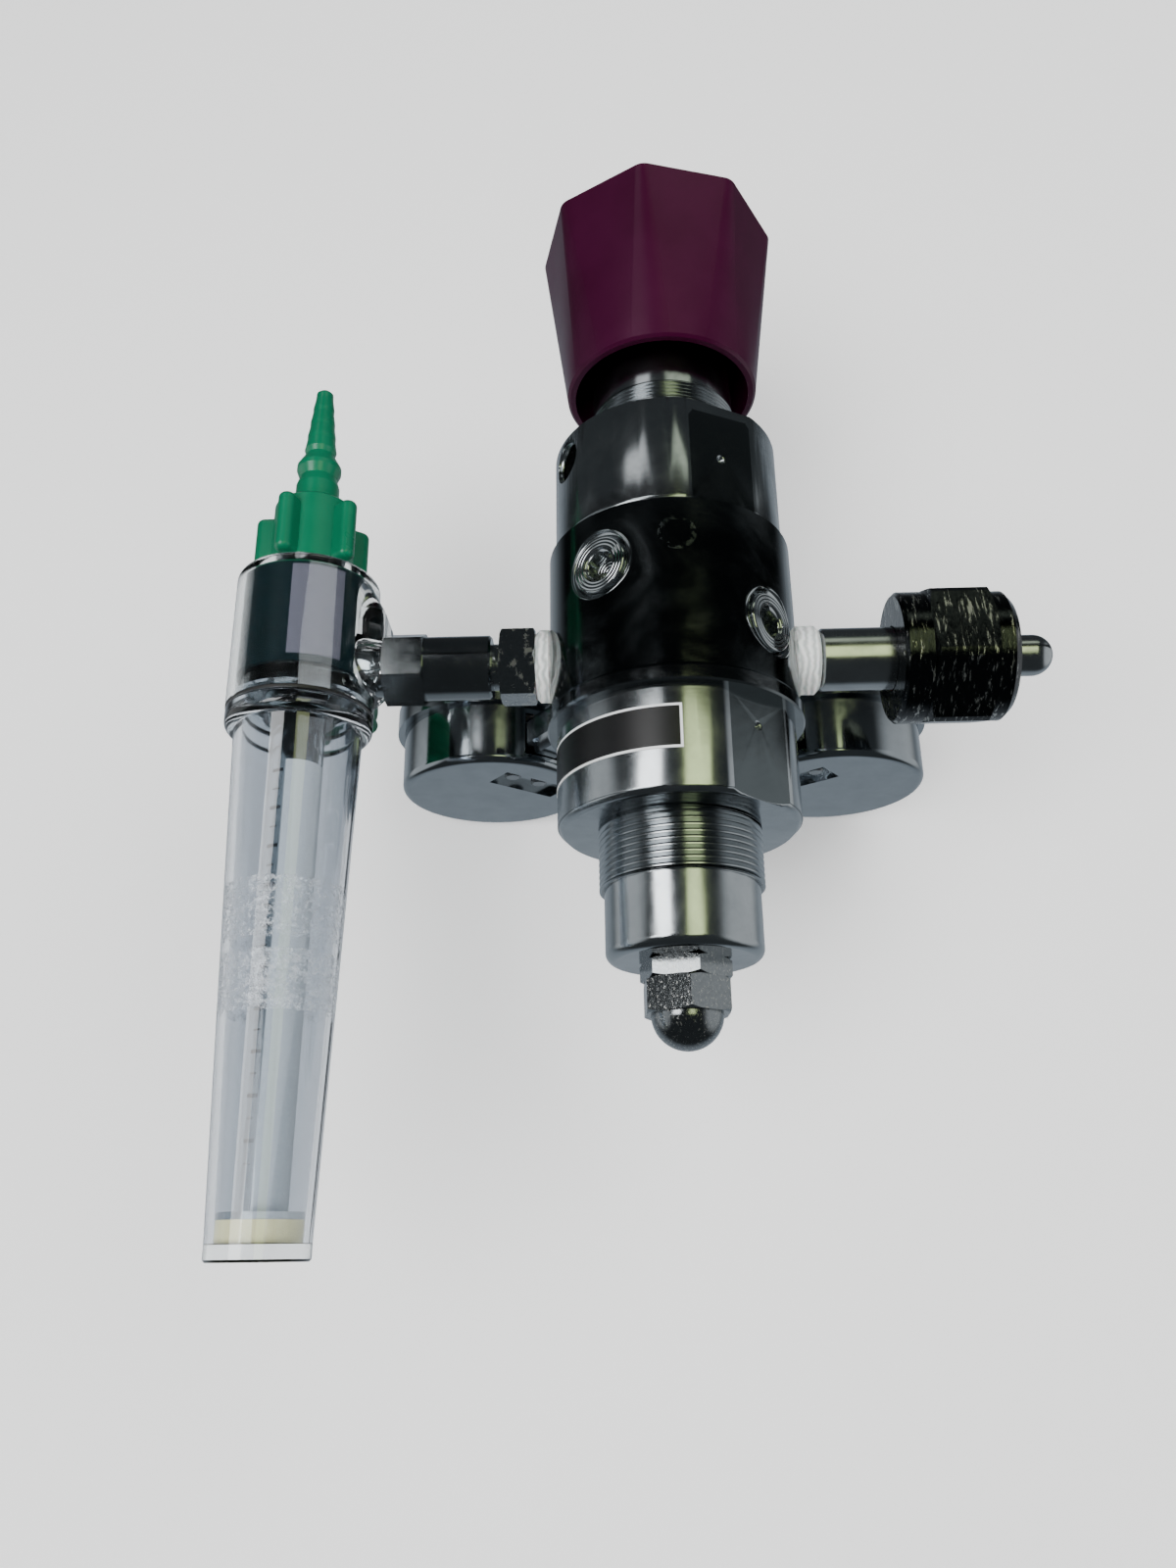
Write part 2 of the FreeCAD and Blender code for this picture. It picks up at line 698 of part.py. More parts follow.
def make_button(low, high, bore_d, screw_side):
    """The button between a spring and its screw, with a dimple for the screw's tip."""
    button = rod(bore_d / 2 - LOOSE_GAP, low, high)
    spring_face = low if screw_side > 0 else high
    boss = rod(PLATE_BOSS_D / 2, spring_face, spring_face - screw_side * PLATE_BOSS_HEIGHT)
    screw_face = high if screw_side > 0 else low
    dimple = turned([(screw_face, 0), (screw_face, BUTTON_DIMPLE_D / 2),
                     (screw_face - screw_side * BUTTON_DIMPLE_DEPTH, BUTTON_DIMPLE_D / 2 - BUTTON_DIMPLE_DEPTH),
                     (screw_face - screw_side * BUTTON_DIMPLE_DEPTH, 0)])
    return button.fuse(boss).cut(dimple).removeSplitter()


def make_seat(face, direction):
    """A screwed-in valve seat with a raised lip on the poppet's side."""
    far_face = face + direction * SEAT_THICKNESS
    return tube(SEAT_D / 2, SEAT_HOLE_D / 2, face, far_face)


def make_poppet(seat_far_face, direction, head_length, diaphragm_face):
    """A poppet: sealing head, pin through the seat and guide stem inside its spring."""
    head_start = seat_far_face + direction * SEAT_GAP
    head_end = head_start + direction * head_length
    pin_end = diaphragm_face + direction * SEAT_GAP
    stem_end = head_end + direction * (POPPET_TURNS * POPPET_WIRE + 1)
    head = rod(POPPET_HEAD_D / 2, head_start, head_end)
    pin = rod(POPPET_PIN_D / 2, pin_end, head_start)
    stem = rod(POPPET_STEM_D / 2, head_end, stem_end)
    return head.fuse([pin, stem]).removeSplitter()


first_seat_far = lower_chamber_floor + SEAT_THICKNESS
delivery_seat_far = upper_chamber_floor - SEAT_THICKNESS
first_head_end = first_seat_far + SEAT_GAP + FIRST_HEAD_LENGTH
delivery_head_end = delivery_seat_far - SEAT_GAP - DELIVERY_HEAD_LENGTH


# Pressure knob and its screw

def knob_section(level, lobe_r, lobe_round):
    """One section of the knob's lobed top: flats joined by round corners."""
    corner_r = lobe_r - lobe_round
    half = math.pi / KNOB_LOBES
    edges = []
    for index in range(KNOB_LOBES):
        middle = math.radians(KNOB_LOBE_PHASE) + 2 * half * index
        centre = (corner_r * math.sin(middle), corner_r * math.cos(middle))
        arc_points = []
        for angle in (middle - half, middle, middle + half):
            side = centre[0] + lobe_round * math.sin(angle)
            up = centre[1] + lobe_round * math.cos(angle)
            arc_points.append(Vector(side, level, up))
        following = middle + 2 * half
        next_start = Vector(corner_r * math.sin(following) + lobe_round * math.sin(middle + half), level,
                            corner_r * math.cos(following) + lobe_round * math.cos(middle + half))
        edges.append(Part.Arc(*arc_points).toShape())
        edges.append(Part.LineSegment(arc_points[2], next_start).toShape())
    return Part.Wire(edges)


def knob_round_section(level, radius):
    """A round section cut into as many arcs as the lobed one has edges."""
    half = math.pi / KNOB_LOBES
    corner_share = 0.5 * half
    edges = []
    for index in range(KNOB_LOBES):
        middle = math.radians(KNOB_LOBE_PHASE) + 2 * half * index
        bounds = [(middle - corner_share, middle + corner_share),
                  (middle + corner_share, middle + 2 * half - corner_share)]
        for first, last in bounds:
            points = []
            for angle in (first, (first + last) / 2, last):
                points.append(Vector(radius * math.sin(angle), level, radius * math.cos(angle)))
            edges.append(Part.Arc(*points).toShape())
    return Part.Wire(edges)


knob_top = KNOB_RIM_Y + KNOB_HEIGHT
knob_floor = knob_top - KNOB_TOP_WALL
screw_shoulder = SCREW_TIP_Y + SCREW_LENGTH


def make_knob():
    """The moulded knob: lobed shell, hub on the screw's hexagon and ribs between them."""
    rim_r = KNOB_RIM_D / 2
    rim_edge = KNOB_WALL / 3
    lower = Part.makeLoft([knob_round_section(KNOB_RIM_Y, rim_r - rim_edge),
                           knob_round_section(KNOB_RIM_Y + rim_edge, rim_r)], True, True)
    middle = Part.makeLoft([knob_round_section(KNOB_RIM_Y + rim_edge, rim_r),
                            knob_section(knob_top - KNOB_EDGE, KNOB_LOBE_R, KNOB_LOBE_ROUND)], True, True)
    upper = Part.makeLoft([knob_section(knob_top - KNOB_EDGE, KNOB_LOBE_R, KNOB_LOBE_ROUND),
                           knob_section(knob_top, KNOB_LOBE_R - KNOB_EDGE, KNOB_LOBE_ROUND - KNOB_EDGE)],
                          True, True)
    outside = lower.fuse([middle, upper])
    cavity = turned([(KNOB_RIM_Y, 0), (KNOB_RIM_Y, rim_r - KNOB_WALL),
                     (knob_floor, KNOB_CAVITY_TOP_D / 2), (knob_floor, 0)])
    hub = rod(KNOB_HUB_D / 2, screw_shoulder, knob_floor)
    rib_low = knob_floor - KNOB_RIB_HEIGHT
    half_rib = KNOB_RIB_THICKNESS / 2
    ribs = []
    for index in range(KNOB_LOBES // 2):
        bar = box_between(Vector(-half_rib, rib_low, -rim_r), Vector(half_rib, knob_floor, rim_r))
        ribs.append(about_y(bar, KNOB_LOBE_PHASE + index * FULL_TURN / KNOB_LOBES))
    knob = outside.cut(cavity).fuse([hub] + ribs)
    drive = hexagon(SCREW_DRIVE_AF + 2 * THREAD_GAP, screw_shoulder, screw_shoulder + SCREW_DRIVE_LENGTH)
    bolt_hole = rod(KNOB_SCREW_D / 2 + THREAD_GAP, screw_shoulder, knob_top)
    recess = rod(KNOB_RECESS_D / 2, knob_floor, knob_top)
    return knob.cut([drive, bolt_hole, recess])


def make_adjusting_screw():
    """The pressure screw: pointed tip, threaded shank and a hexagon that drives it."""
    radius = SCREW_D / 2
    tip = BUTTON_DIMPLE_D / 2 - BUTTON_DIMPLE_DEPTH - SEAT_GAP
    cone = radius - tip
    shank = turned([(SCREW_TIP_Y, 0), (SCREW_TIP_Y, tip), (SCREW_TIP_Y + cone, radius),
                    (screw_shoulder, radius), (screw_shoulder, 0)])
    drive_end = screw_shoulder + SCREW_DRIVE_LENGTH - SEAT_GAP
    drive = hexagon(SCREW_DRIVE_AF, screw_shoulder, drive_end)
    tapped = rod(KNOB_SCREW_D / 2 + THREAD_GAP, knob_floor - KNOB_SCREW_LENGTH - 1, drive_end)
    return shank.fuse(drive).cut(tapped)


def make_knob_screw():
    """The cap screw that holds the knob on its screw."""
    head = rod(KNOB_SCREW_HEAD_D / 2, knob_floor, knob_floor + KNOB_SCREW_HEAD)
    shank = rod(KNOB_SCREW_D / 2, knob_floor - KNOB_SCREW_LENGTH, knob_floor)
    socket = hexagon(KNOB_SCREW_SOCKET_AF, knob_floor + KNOB_SCREW_HEAD / 3, knob_floor + KNOB_SCREW_HEAD)
    return head.fuse(shank).cut(socket)


# First stage set screw, lock nut and cap nut

lock_nut_end = lower_neck_end - LOCK_NUT_HEIGHT
cap_hex_end = lock_nut_end - CAP_NUT_HEX
cap_bore_end = lock_nut_end - CAP_NUT_BORE_DEPTH


def make_set_screw():
    """The first stage's set screw, from its button to the inside of the cap nut."""
    end = cap_bore_end + SET_SCREW_END_GAP
    radius = SET_SCREW_D / 2
    tip = BUTTON_DIMPLE_D / 2 - BUTTON_DIMPLE_DEPTH - SEAT_GAP
    return turned([(SET_SCREW_TIP_Y, 0), (SET_SCREW_TIP_Y, tip), (SET_SCREW_TIP_Y - (radius - tip), radius),
                   (end, radius), (end, 0)])


def make_lock_nut():
    """The thin nut that locks the set screw against the neck."""
    corner_d = 2 * LOCK_NUT_AF / math.sqrt(3.0)
    nut = turned_hexagon(LOCK_NUT_AF, corner_d, NUT_CORNER_EDGE, lock_nut_end, lower_neck_end, Y_AXIS,
                         LOCK_NUT_TURN)
    return nut.cut(rod(SET_SCREW_D / 2 + THREAD_GAP, lock_nut_end, lower_neck_end))


def make_cap_nut():
    """The domed nut that covers the set screw's end."""
    dome_r = CAP_NUT_DOME_D / 2
    corner_d = 2 * CAP_NUT_AF / math.sqrt(3.0)
    hexa = turned_hexagon(CAP_NUT_AF, corner_d, NUT_CORNER_EDGE, cap_hex_end, lock_nut_end, Y_AXIS, CAP_NUT_TURN)
    dome_y = cap_hex_end + CAP_NUT_DOME_RISE
    ball = Part.makeSphere(dome_r, Vector(0, dome_y, 0))
    below = rod(dome_r + 1, dome_y - dome_r - 1, dome_y)
    nut = hexa.fuse(ball.common(below))
    return nut.cut(rod(SET_SCREW_D / 2 + THREAD_GAP, cap_bore_end, lock_nut_end))


# Inlet nipple, filter, tape and nut

def make_inlet_nipple():
    """Turned nipple: pipe thread, shank, retaining flange and ball nose."""
    thread = PIPE_THREAD_D / 2
    shank = NIPPLE_SHANK_D / 2
    flange = NIPPLE_FLANGE_D / 2
    nose = NOSE_D / 2
    start = PORT_FLOOR_R + SEAT_GAP
    thread_end = THREAD_START_R + INLET_TAPE_LENGTH
    flange_end = NIPPLE_SHANK_END + NIPPLE_FLANGE
    body = turned([(start, 0), (start, thread), (thread_end, thread), (thread_end, shank - NUT_EDGE),
                   (thread_end + NUT_EDGE, shank), (NIPPLE_SHANK_END, shank),
                   (NIPPLE_SHANK_END, flange), (flange_end, flange), (flange_end, nose),
                   (nose_centre, nose), (nose_centre, 0)], X_AXIS)
    ball = Part.makeSphere(nose, Vector(nose_centre, 0, 0))
    body = body.fuse(ball).removeSplitter()
    bore = rod(NIPPLE_BORE_D / 2, start, nose_centre + nose, X_AXIS)
    pocket = rod(FILTER_D / 2 + THREAD_GAP, start, start + FILTER_LENGTH, X_AXIS)
    return body.cut([bore, pocket])


def make_inlet_filter():
    """The sintered filter in the nipple's back end."""
    start = PORT_FLOOR_R + 2 * SEAT_GAP
    return rod(FILTER_D / 2, start, start + FILTER_LENGTH - 2 * SEAT_GAP, X_AXIS)


def make_tape(start, end, outer_d):
    """Sealing tape wound on a pipe thread, pressed into the port's countersink at its start."""
    inner = PIPE_THREAD_D / 2 + THREAD_GAP
    outer = outer_d / 2
    way = math.copysign(1, end)
    seat = start + way * SEAT_GAP
    return turned([(seat, inner), (seat + way * (outer - inner), outer), (end - way * TAPE_EDGE, outer),
                   (end, outer - TAPE_EDGE), (end, inner)], X_AXIS)


def make_inlet_nut():
    """The nut that draws the nipple into a cylinder valve."""
    hex_start = NUT_START + NUT_COLLAR
    hex_end = hex_start + NUT_HEX
    end = hex_end + NUT_END
    collar = NUT_COLLAR_D / 2
    tail = NUT_END_D / 2
    ends = turned([(NUT_START, 0), (NUT_START, collar - NUT_EDGE), (NUT_START + NUT_EDGE, collar),
                   (hex_start, collar), (hex_start, tail), (end - NUT_END_EDGE, tail),
                   (end, tail - NUT_END_EDGE), (end, 0)], X_AXIS)
    grip = turned_hexagon(NUT_HEX_AF, NUT_HEX_TURNED_D, NUT_HEX_EDGE, hex_start, hex_end, X_AXIS, NUT_HEX_TURN)
    hole = rod(NIPPLE_SHANK_D / 2 + LOOSE_GAP, NUT_START, end, X_AXIS)
    bore = turned([(NUT_START + NUT_SHOULDER, 0), (NUT_START + NUT_SHOULDER, NUT_BORE_D / 2),
                   (end - NUT_EDGE, NUT_BORE_D / 2), (end, NUT_BORE_D / 2 + NUT_EDGE), (end, 0)], X_AXIS)
    return ends.fuse(grip).removeSplitter().cut([hole, bore])


# Outlet nipple and coupling, built towards the flowmeter

outlet_hex_start = THREAD_START_R + OUTLET_TAPE_LENGTH
outlet_hex_end = outlet_hex_start + OUTLET_HEX
coupling_start = outlet_hex_end + OUTLET_NECK
coupling_hex_start = coupling_start + COUPLING_BARREL
boss_face = coupling_hex_start + COUPLING_HEX
flow_x = -(boss_face + FLOW_AXIS_INSET)
FLOW_CENTRE = Vector(flow_x, 0, 0)


def make_outlet_nipple():
    """Chrome hexagon nipple between the body's outlet port and the coupling."""
    thread = PIPE_THREAD_D / 2
    start = -(PORT_FLOOR_R + SEAT_GAP)
    male_end = -(coupling_start + OUTLET_MALE)
    pipe = rod(thread, start, -outlet_hex_start, X_AXIS)
    neck = rod(OUTLET_NECK_D / 2, -outlet_hex_end, -coupling_start, X_AXIS)
    male = rod(OUTLET_MALE_D / 2, -coupling_start, male_end, X_AXIS)
    corner_d = 2 * OUTLET_HEX_AF / math.sqrt(3.0)
    grip = turned_hexagon(OUTLET_HEX_AF, corner_d, SMALL_HEX_EDGE, -outlet_hex_end, -outlet_hex_start, X_AXIS,
                          OUTLET_HEX_TURN)
    bore = rod(OUTLET_BORE_D / 2, start, male_end, X_AXIS)
    return grip.fuse([pipe, neck, male]).cut(bore)


def make_coupling():
    """Satin coupling: round barrel, hexagon and the thread in the flowmeter's boss."""
    barrel = rod(COUPLING_D / 2, -coupling_hex_start, -coupling_start, X_AXIS)
    barrel = chamfered(barrel, COUPLING_EDGE, -coupling_start, COUPLING_D / 2, X_AXIS)
    corner_d = 2 * COUPLING_HEX_AF / math.sqrt(3.0)
    grip = turned_hexagon(COUPLING_HEX_AF, corner_d, SMALL_HEX_EDGE, -boss_face, -coupling_hex_start, X_AXIS,
                          COUPLING_HEX_TURN)
    male_end = -(boss_face + COUPLING_MALE)
    male = rod(COUPLING_MALE_D / 2, male_end, -boss_face, X_AXIS)
    socket = rod(OUTLET_MALE_D / 2 + THREAD_GAP, -(coupling_start + OUTLET_MALE + 1), -coupling_start, X_AXIS)
    bore = rod(OUTLET_BORE_D / 2, male_end, -coupling_start, X_AXIS)
    return barrel.fuse([grip, male]).cut([socket, bore])


# Flowmeter body

def at_flow(shape):
    """Move a shape that was made about the body's axis to the flowmeter's axis."""
    moved = shape.copy()
    moved.translate(FLOW_CENTRE)
    return moved


shell_r = FLOW_SHELL_D / 2
shell_bore_r = shell_r - FLOW_SHELL_WALL
sleeve_r = shell_bore_r - SLEEVE_GAP
block_r = sleeve_r - SLEEVE_WALL - THREAD_GAP
block_top = FLOW_SHELL_TOP - FLOW_SHELL_ROOF - BLOCK_TOP_GAP
valve_port_r = VALVE_COLLAR_D / 2 + THREAD_GAP
coupling_port_r = COUPLING_MALE_D / 2 + THREAD_GAP


def make_flow_shell():
    """The clear moulding: a cup over the valve block with a boss for the coupling."""
    cup = rod(shell_r, FLOW_SHELL_BOTTOM, FLOW_SHELL_TOP)
    half = BOSS_WIDTH / 2
    face_x = FLOW_AXIS_INSET
    slant_x = face_x - BOSS_SLANT
    outline = [Vector(0, BOSS_LOWER_Y, 0), Vector(slant_x, BOSS_LOWER_Y, 0), Vector(face_x, BOSS_FACE_LOWER_Y, 0),
               Vector(face_x, BOSS_FACE_UPPER_Y, 0), Vector(slant_x, BOSS_UPPER_Y, 0), Vector(0, BOSS_UPPER_Y, 0)]
    boss = prism(outline, -half, half, Z_AXIS)
    long_edges = [edge for edge in boss.Edges if edge.BoundBox.XMin > 1 and edge.BoundBox.ZLength < 0.01]
    boss = boss.makeFillet(BOSS_ROUND, [edge for edge in long_edges if edge.BoundBox.YLength > 1])
    shell = cup.fuse(boss).removeSplitter()
    shell = rounded(shell, FLOW_SHELL_EDGE, FLOW_SHELL_TOP, shell_r)
    cuts = [rod(shell_bore_r, FLOW_SHELL_BOTTOM, FLOW_SHELL_TOP - FLOW_SHELL_ROOF),
            rod(OUTLET_STEM_D / 2 + LOOSE_GAP, 0, FLOW_SHELL_TOP),
            rod(coupling_port_r, 0, face_x, X_AXIS),
            rod(valve_port_r, -shell_r, 0, Z_AXIS, Vector(0, VALVE_Y, 0))]
    return at_flow(shell.cut(cuts))


def make_valve_block():
    """The moulded block with the gas ways, the tube's socket and the hose outlet stem."""
    socket_r = METER_TOP_D / 2 + THREAD_GAP
    boss_bottom = BLOCK_BOTTOM - TUBE_BOSS
    socket_top = boss_bottom + TUBE_SOCKET_DEPTH
    block = turned([(boss_bottom, 0), (boss_bottom, TUBE_BOSS_D / 2), (BLOCK_BOTTOM, TUBE_BOSS_D / 2),
                    (BLOCK_BOTTOM, block_r), (block_top, block_r), (block_top, OUTLET_STEM_D / 2),
                    (OUTLET_STEM_TOP, OUTLET_STEM_D / 2), (OUTLET_STEM_TOP, 0)])
    block = block.cut(rod(socket_r, boss_bottom, socket_top))
    seat = rod(FLOAT_SEAT_D / 2, FLOAT_SEAT_END, socket_top)
    block = block.fuse(seat)
    way = FLOW_PASSAGE_D / 2
    side_x = -VALVE_COLLAR_D
    coupling_end = FLOW_AXIS_INSET - COUPLING_MALE
    collar_floor = -block_r + VALVE_HEX
    cuts = [rod(coupling_port_r, coupling_end - SEAT_GAP, block_r, X_AXIS),
            rod(way, 0, block_r, X_AXIS),
            rod(way, FLOAT_SEAT_END, 0),
            rod(FLOW_OUTLET_D / 2, VALVE_Y, OUTLET_STEM_TOP),
            rod(way / 2, VALVE_TIP_Z, 0, Z_AXIS, Vector(0, VALVE_Y, 0)),
            rod(VALVE_STEM_D / 2 + RUNNING_GAP, -block_r, VALVE_TIP_Z, Z_AXIS, Vector(0, VALVE_Y, 0)),
            rod(valve_port_r, -block_r, collar_floor, Z_AXIS, Vector(0, VALVE_Y, 0)),
            rod(way / 2, side_x, 0, X_AXIS, Vector(0, VALVE_Y, VALVE_CHANNEL_Z)),
            rod(way / 2, BLOCK_BOTTOM, VALVE_Y, Y_AXIS, Vector(side_x + way, 0, VALVE_CHANNEL_Z))]
    return at_flow(block.cut(cuts))


def make_label_sleeve():
    """The dark printed sleeve between the valve block and the clear shell."""
    sleeve = tube(sleeve_r, sleeve_r - SLEEVE_WALL, SLEEVE_BOTTOM, block_top)
    cuts = [rod(coupling_port_r + LOOSE_GAP, 0, shell_r, X_AXIS),
            rod(valve_port_r + LOOSE_GAP, -shell_r, 0, Z_AXIS, Vector(0, VALVE_Y, 0))]
    return at_flow(sleeve.cut(cuts))


# Cover tube, metering tube, float and end pieces

seal_bottom = FLOW_SHELL_BOTTOM - RING_SEAL_THICKNESS
flange_bottom = seal_bottom - COVER_FLANGE
cover_mouth_r = COVER_END_D / 2 - COVER_WALL


def make_ring_seal():
    """The black ring seal squeezed between the shell and the cover tube."""
    inner = shell_bore_r + THREAD_GAP
    return at_flow(tube(inner + RING_SEAL_WIDTH, inner, seal_bottom, FLOW_SHELL_BOTTOM))


def make_cover_tube():
    """The tapered clear cover tube with its flange and spigot."""
    spigot_r = shell_bore_r - THREAD_GAP
    spigot_top = FLOW_SHELL_BOTTOM + COVER_SPIGOT
    top_r = COVER_TOP_D / 2
    end_r = COVER_END_D / 2
    cover = turned([(spigot_top, top_r - COVER_WALL), (spigot_top, spigot_r), (seal_bottom, spigot_r),
                    (seal_bottom, COVER_FLANGE_D / 2), (flange_bottom, COVER_FLANGE_D / 2),
                    (flange_bottom, top_r), (COVER_END_Y, end_r), (COVER_END_Y, end_r - COVER_WALL),
                    (flange_bottom, top_r - COVER_WALL)])
    cover = rounded(cover, COVER_FLANGE_ROUND, flange_bottom, COVER_FLANGE_D / 2)
    return at_flow(cover)


def make_metering_tube():
    """The tapered metering tube, wider inside towards its far end."""
    top = BLOCK_BOTTOM - TUBE_BOSS + TUBE_SOCKET_DEPTH - SEAT_GAP
    flange_end = METER_END_Y - METER_FLANGE
    return at_flow(turned([(top, METER_BORE_TOP_D / 2), (top, METER_TOP_D / 2), (BLOCK_BOTTOM - TUBE_BOSS, METER_TOP_D / 2),
                           (METER_END_Y, METER_END_D / 2), (METER_END_Y, cover_mouth_r),
                           (flange_end, cover_mouth_r), (flange_end, METER_BORE_END_D / 2),
                           (FLOAT_SEAT_END, METER_BORE_TOP_D / 2)]))


def make_float():
    """The ball float, at rest on its seat."""
    seat_rim = FLOW_PASSAGE_D / 2
    drop = math.sqrt((FLOAT_D / 2) ** 2 - seat_rim ** 2)
    return at_flow(Part.makeSphere(FLOAT_D / 2, Vector(0, FLOAT_SEAT_END - drop - SEAT_GAP, 0)))


def make_end_disc():
    """The cream disc that closes the metering tube's far end."""
    start = METER_END_Y - METER_FLANGE - SEAT_GAP
    return at_flow(rod(cover_mouth_r - THREAD_GAP, COVER_END_Y, start))


def make_end_cap():
    """The clear slab on the end of the cover tube."""
    cap = rod(COVER_END_D / 2, COVER_END_Y - END_CAP, COVER_END_Y)
    cap = chamfered(cap, END_CAP_EDGE, COVER_END_Y - END_CAP, COVER_END_D / 2)
    return at_flow(cap)


# Flow control valve

collar_start = -block_r + VALVE_HEX
valve_hex_end = -shell_r - VALVE_HEX
flow_knob_start = valve_hex_end - FLOW_KNOB_GAP
stem_end = VALVE_TIP_Z - VALVE_STEM_LENGTH


def at_valve(shape):
    """Move a shape made about the Z axis to the control valve."""
    moved = shape.copy()
    moved.translate(FLOW_CENTRE + Vector(0, VALVE_Y, 0))
    return moved


def make_valve_bonnet():
    """The chrome bonnet that holds the needle valve in the block."""
    collar = rod(VALVE_COLLAR_D / 2, -shell_r, collar_start - SEAT_GAP, Z_AXIS)
    corner_d = 2 * VALVE_HEX_AF / math.sqrt(3.0)
    grip = turned_hexagon(VALVE_HEX_AF, corner_d, SMALL_HEX_EDGE, valve_hex_end, -shell_r, Z_AXIS)
    bore = rod(VALVE_STEM_D / 2 + RUNNING_GAP, valve_hex_end, collar_start, Z_AXIS)
    return at_valve(collar.fuse(grip).cut(bore))


def make_needle_valve():
    """The needle and its stem."""
    radius = VALVE_STEM_D / 2
    point = FLOW_PASSAGE_D / 4
    cone_start = VALVE_TIP_Z - SEAT_GAP
    return at_valve(turned([(cone_start, 0), (cone_start, point), (cone_start - radius, radius),
                            (stem_end, radius), (stem_end, 0)], Z_AXIS))


def make_flow_knob():
    """The small lobed knob on the needle's stem."""
    end = flow_knob_start - FLOW_KNOB_HEIGHT
    lobe_r = FLOW_KNOB_LOBE_D / 2
    knob = rod(FLOW_KNOB_D / 2 - lobe_r / 2, end, flow_knob_start, Z_AXIS)
    lobes = []
    for index in range(FLOW_KNOB_LOBES):
        angle = math.radians(index * FULL_TURN / FLOW_KNOB_LOBES)
        reach = FLOW_KNOB_D / 2 - lobe_r
        place = Vector(reach * math.sin(angle), reach * math.cos(angle), 0)
        lobe = rod(lobe_r, end, flow_knob_start, Z_AXIS, place)
        lobes.append(chamfered(lobe, FLOW_KNOB_EDGE, end, lobe_r, Z_AXIS, place))
    core_r = FLOW_KNOB_D / 2 - lobe_r / 2
    knob = chamfered(knob, FLOW_KNOB_EDGE, end, core_r, Z_AXIS)
    bore = rod(VALVE_STEM_D / 2 + THREAD_GAP, stem_end - SEAT_GAP, flow_knob_start, Z_AXIS)
    return at_valve(knob.fuse(lobes).cut(bore))


# Barbed nipple and lobed nut

nut_roof = WING_NUT_BOTTOM + WING_NUT_HEIGHT - WING_NUT_ROOF
nipple_collar_top = OUTLET_STEM_TOP + NIPPLE_COLLAR


def make_barb_nipple():
    """The hose nipple: collar, waist, bead and four barbs that shrink towards the tip."""
    bore = BARB_BORE_D / 2
    outline = [(OUTLET_STEM_TOP, bore), (OUTLET_STEM_TOP, NIPPLE_COLLAR_D / 2),
               (nipple_collar_top, NIPPLE_COLLAR_D / 2), (nipple_collar_top, BARB_NECK_D / 2),
               (BARB_NECK_TOP, BARB_NECK_D / 2), (BARB_NECK_TOP + BARB_WAIST_RISE, BARB_WAIST_D / 2),
               (BARB_BEAD_Y - BARB_BEAD_LOW, BARB_BEAD_D / 2), (BARB_BEAD_Y + BARB_BEAD_HIGH, BARB_BEAD_D / 2),
               (BARB_FIRST_Y - BARB_SLOPE, (BARB_FIRST_D - BARB_STEP) / 2)]
    for index in range(BARB_COUNT):
        share = index / (BARB_COUNT - 1)
        ridge_y = BARB_FIRST_Y + index * BARB_PITCH
        ridge_r = (BARB_FIRST_D + (BARB_LAST_D - BARB_FIRST_D) * share) / 2
        outline.append((ridge_y, ridge_r))
        outline.append((ridge_y + BARB_PITCH - BARB_SLOPE, ridge_r - BARB_STEP / 2))
    tip = BARB_TIP_D / 2
    outline.append((BARB_TIP_Y - BARB_TIP_EDGE, tip))
    outline.append((BARB_TIP_Y, tip - BARB_TIP_EDGE))
    outline.append((BARB_TIP_Y, bore))
    return at_flow(turned(outline))


def make_barb_nut():
    """The hand nut with five ribs, which holds the nipple on the outlet stem."""
    top = WING_NUT_BOTTOM + WING_NUT_HEIGHT
    core_r = WING_NUT_CORE_D / 2
    core = rod(core_r, WING_NUT_BOTTOM, top)
    core = chamfered(core, WING_NUT_EDGE, top, core_r)
    half = WING_NUT_RIB_WIDTH / 2
    rib_low = WING_NUT_BOTTOM + WING_NUT_RIB_FOOT
    rib_high = top - WING_NUT_RIB_DROP
    centre_r = WING_NUT_RIB_D / 2 - half
    web = box_between(Vector(-half, rib_low, core_r / 2), Vector(half, rib_high, centre_r))
    rib = web.fuse(rod(half, rib_low, rib_high, Y_AXIS, Vector(0, 0, centre_r))).removeSplitter()
    outline = [edge for edge in rib.Edges
               if edge.BoundBox.YLength < THREAD_GAP and edge.BoundBox.ZMax > core_r / 2 + THREAD_GAP]
    rib = rib.makeFillet(WING_NUT_RIB_EDGE, outline)
    ribs = [about_y(rib, WING_NUT_RIB_PHASE + FULL_TURN / WING_NUT_RIBS * index) for index in range(WING_NUT_RIBS)]
    bore = rod(OUTLET_STEM_D / 2 + THREAD_GAP, WING_NUT_BOTTOM, nut_roof)
    hole = rod(BARB_NECK_D / 2 + RUNNING_GAP, nut_roof, top)
    return at_flow(core.fuse(ribs).cut([bore, hole]))


# Gauges, made about the Y axis with the stem pointing up

def place_gauge(shape, angle):
    """Set a gauge's piece at the end of its stem, on one of the lower ports."""
    placed = shape.copy()
    placed.rotate(CENTRE, Y_AXIS, 180)
    placed.translate(Vector(0, 0, GAUGE_REACH))
    return about_y(placed, angle)


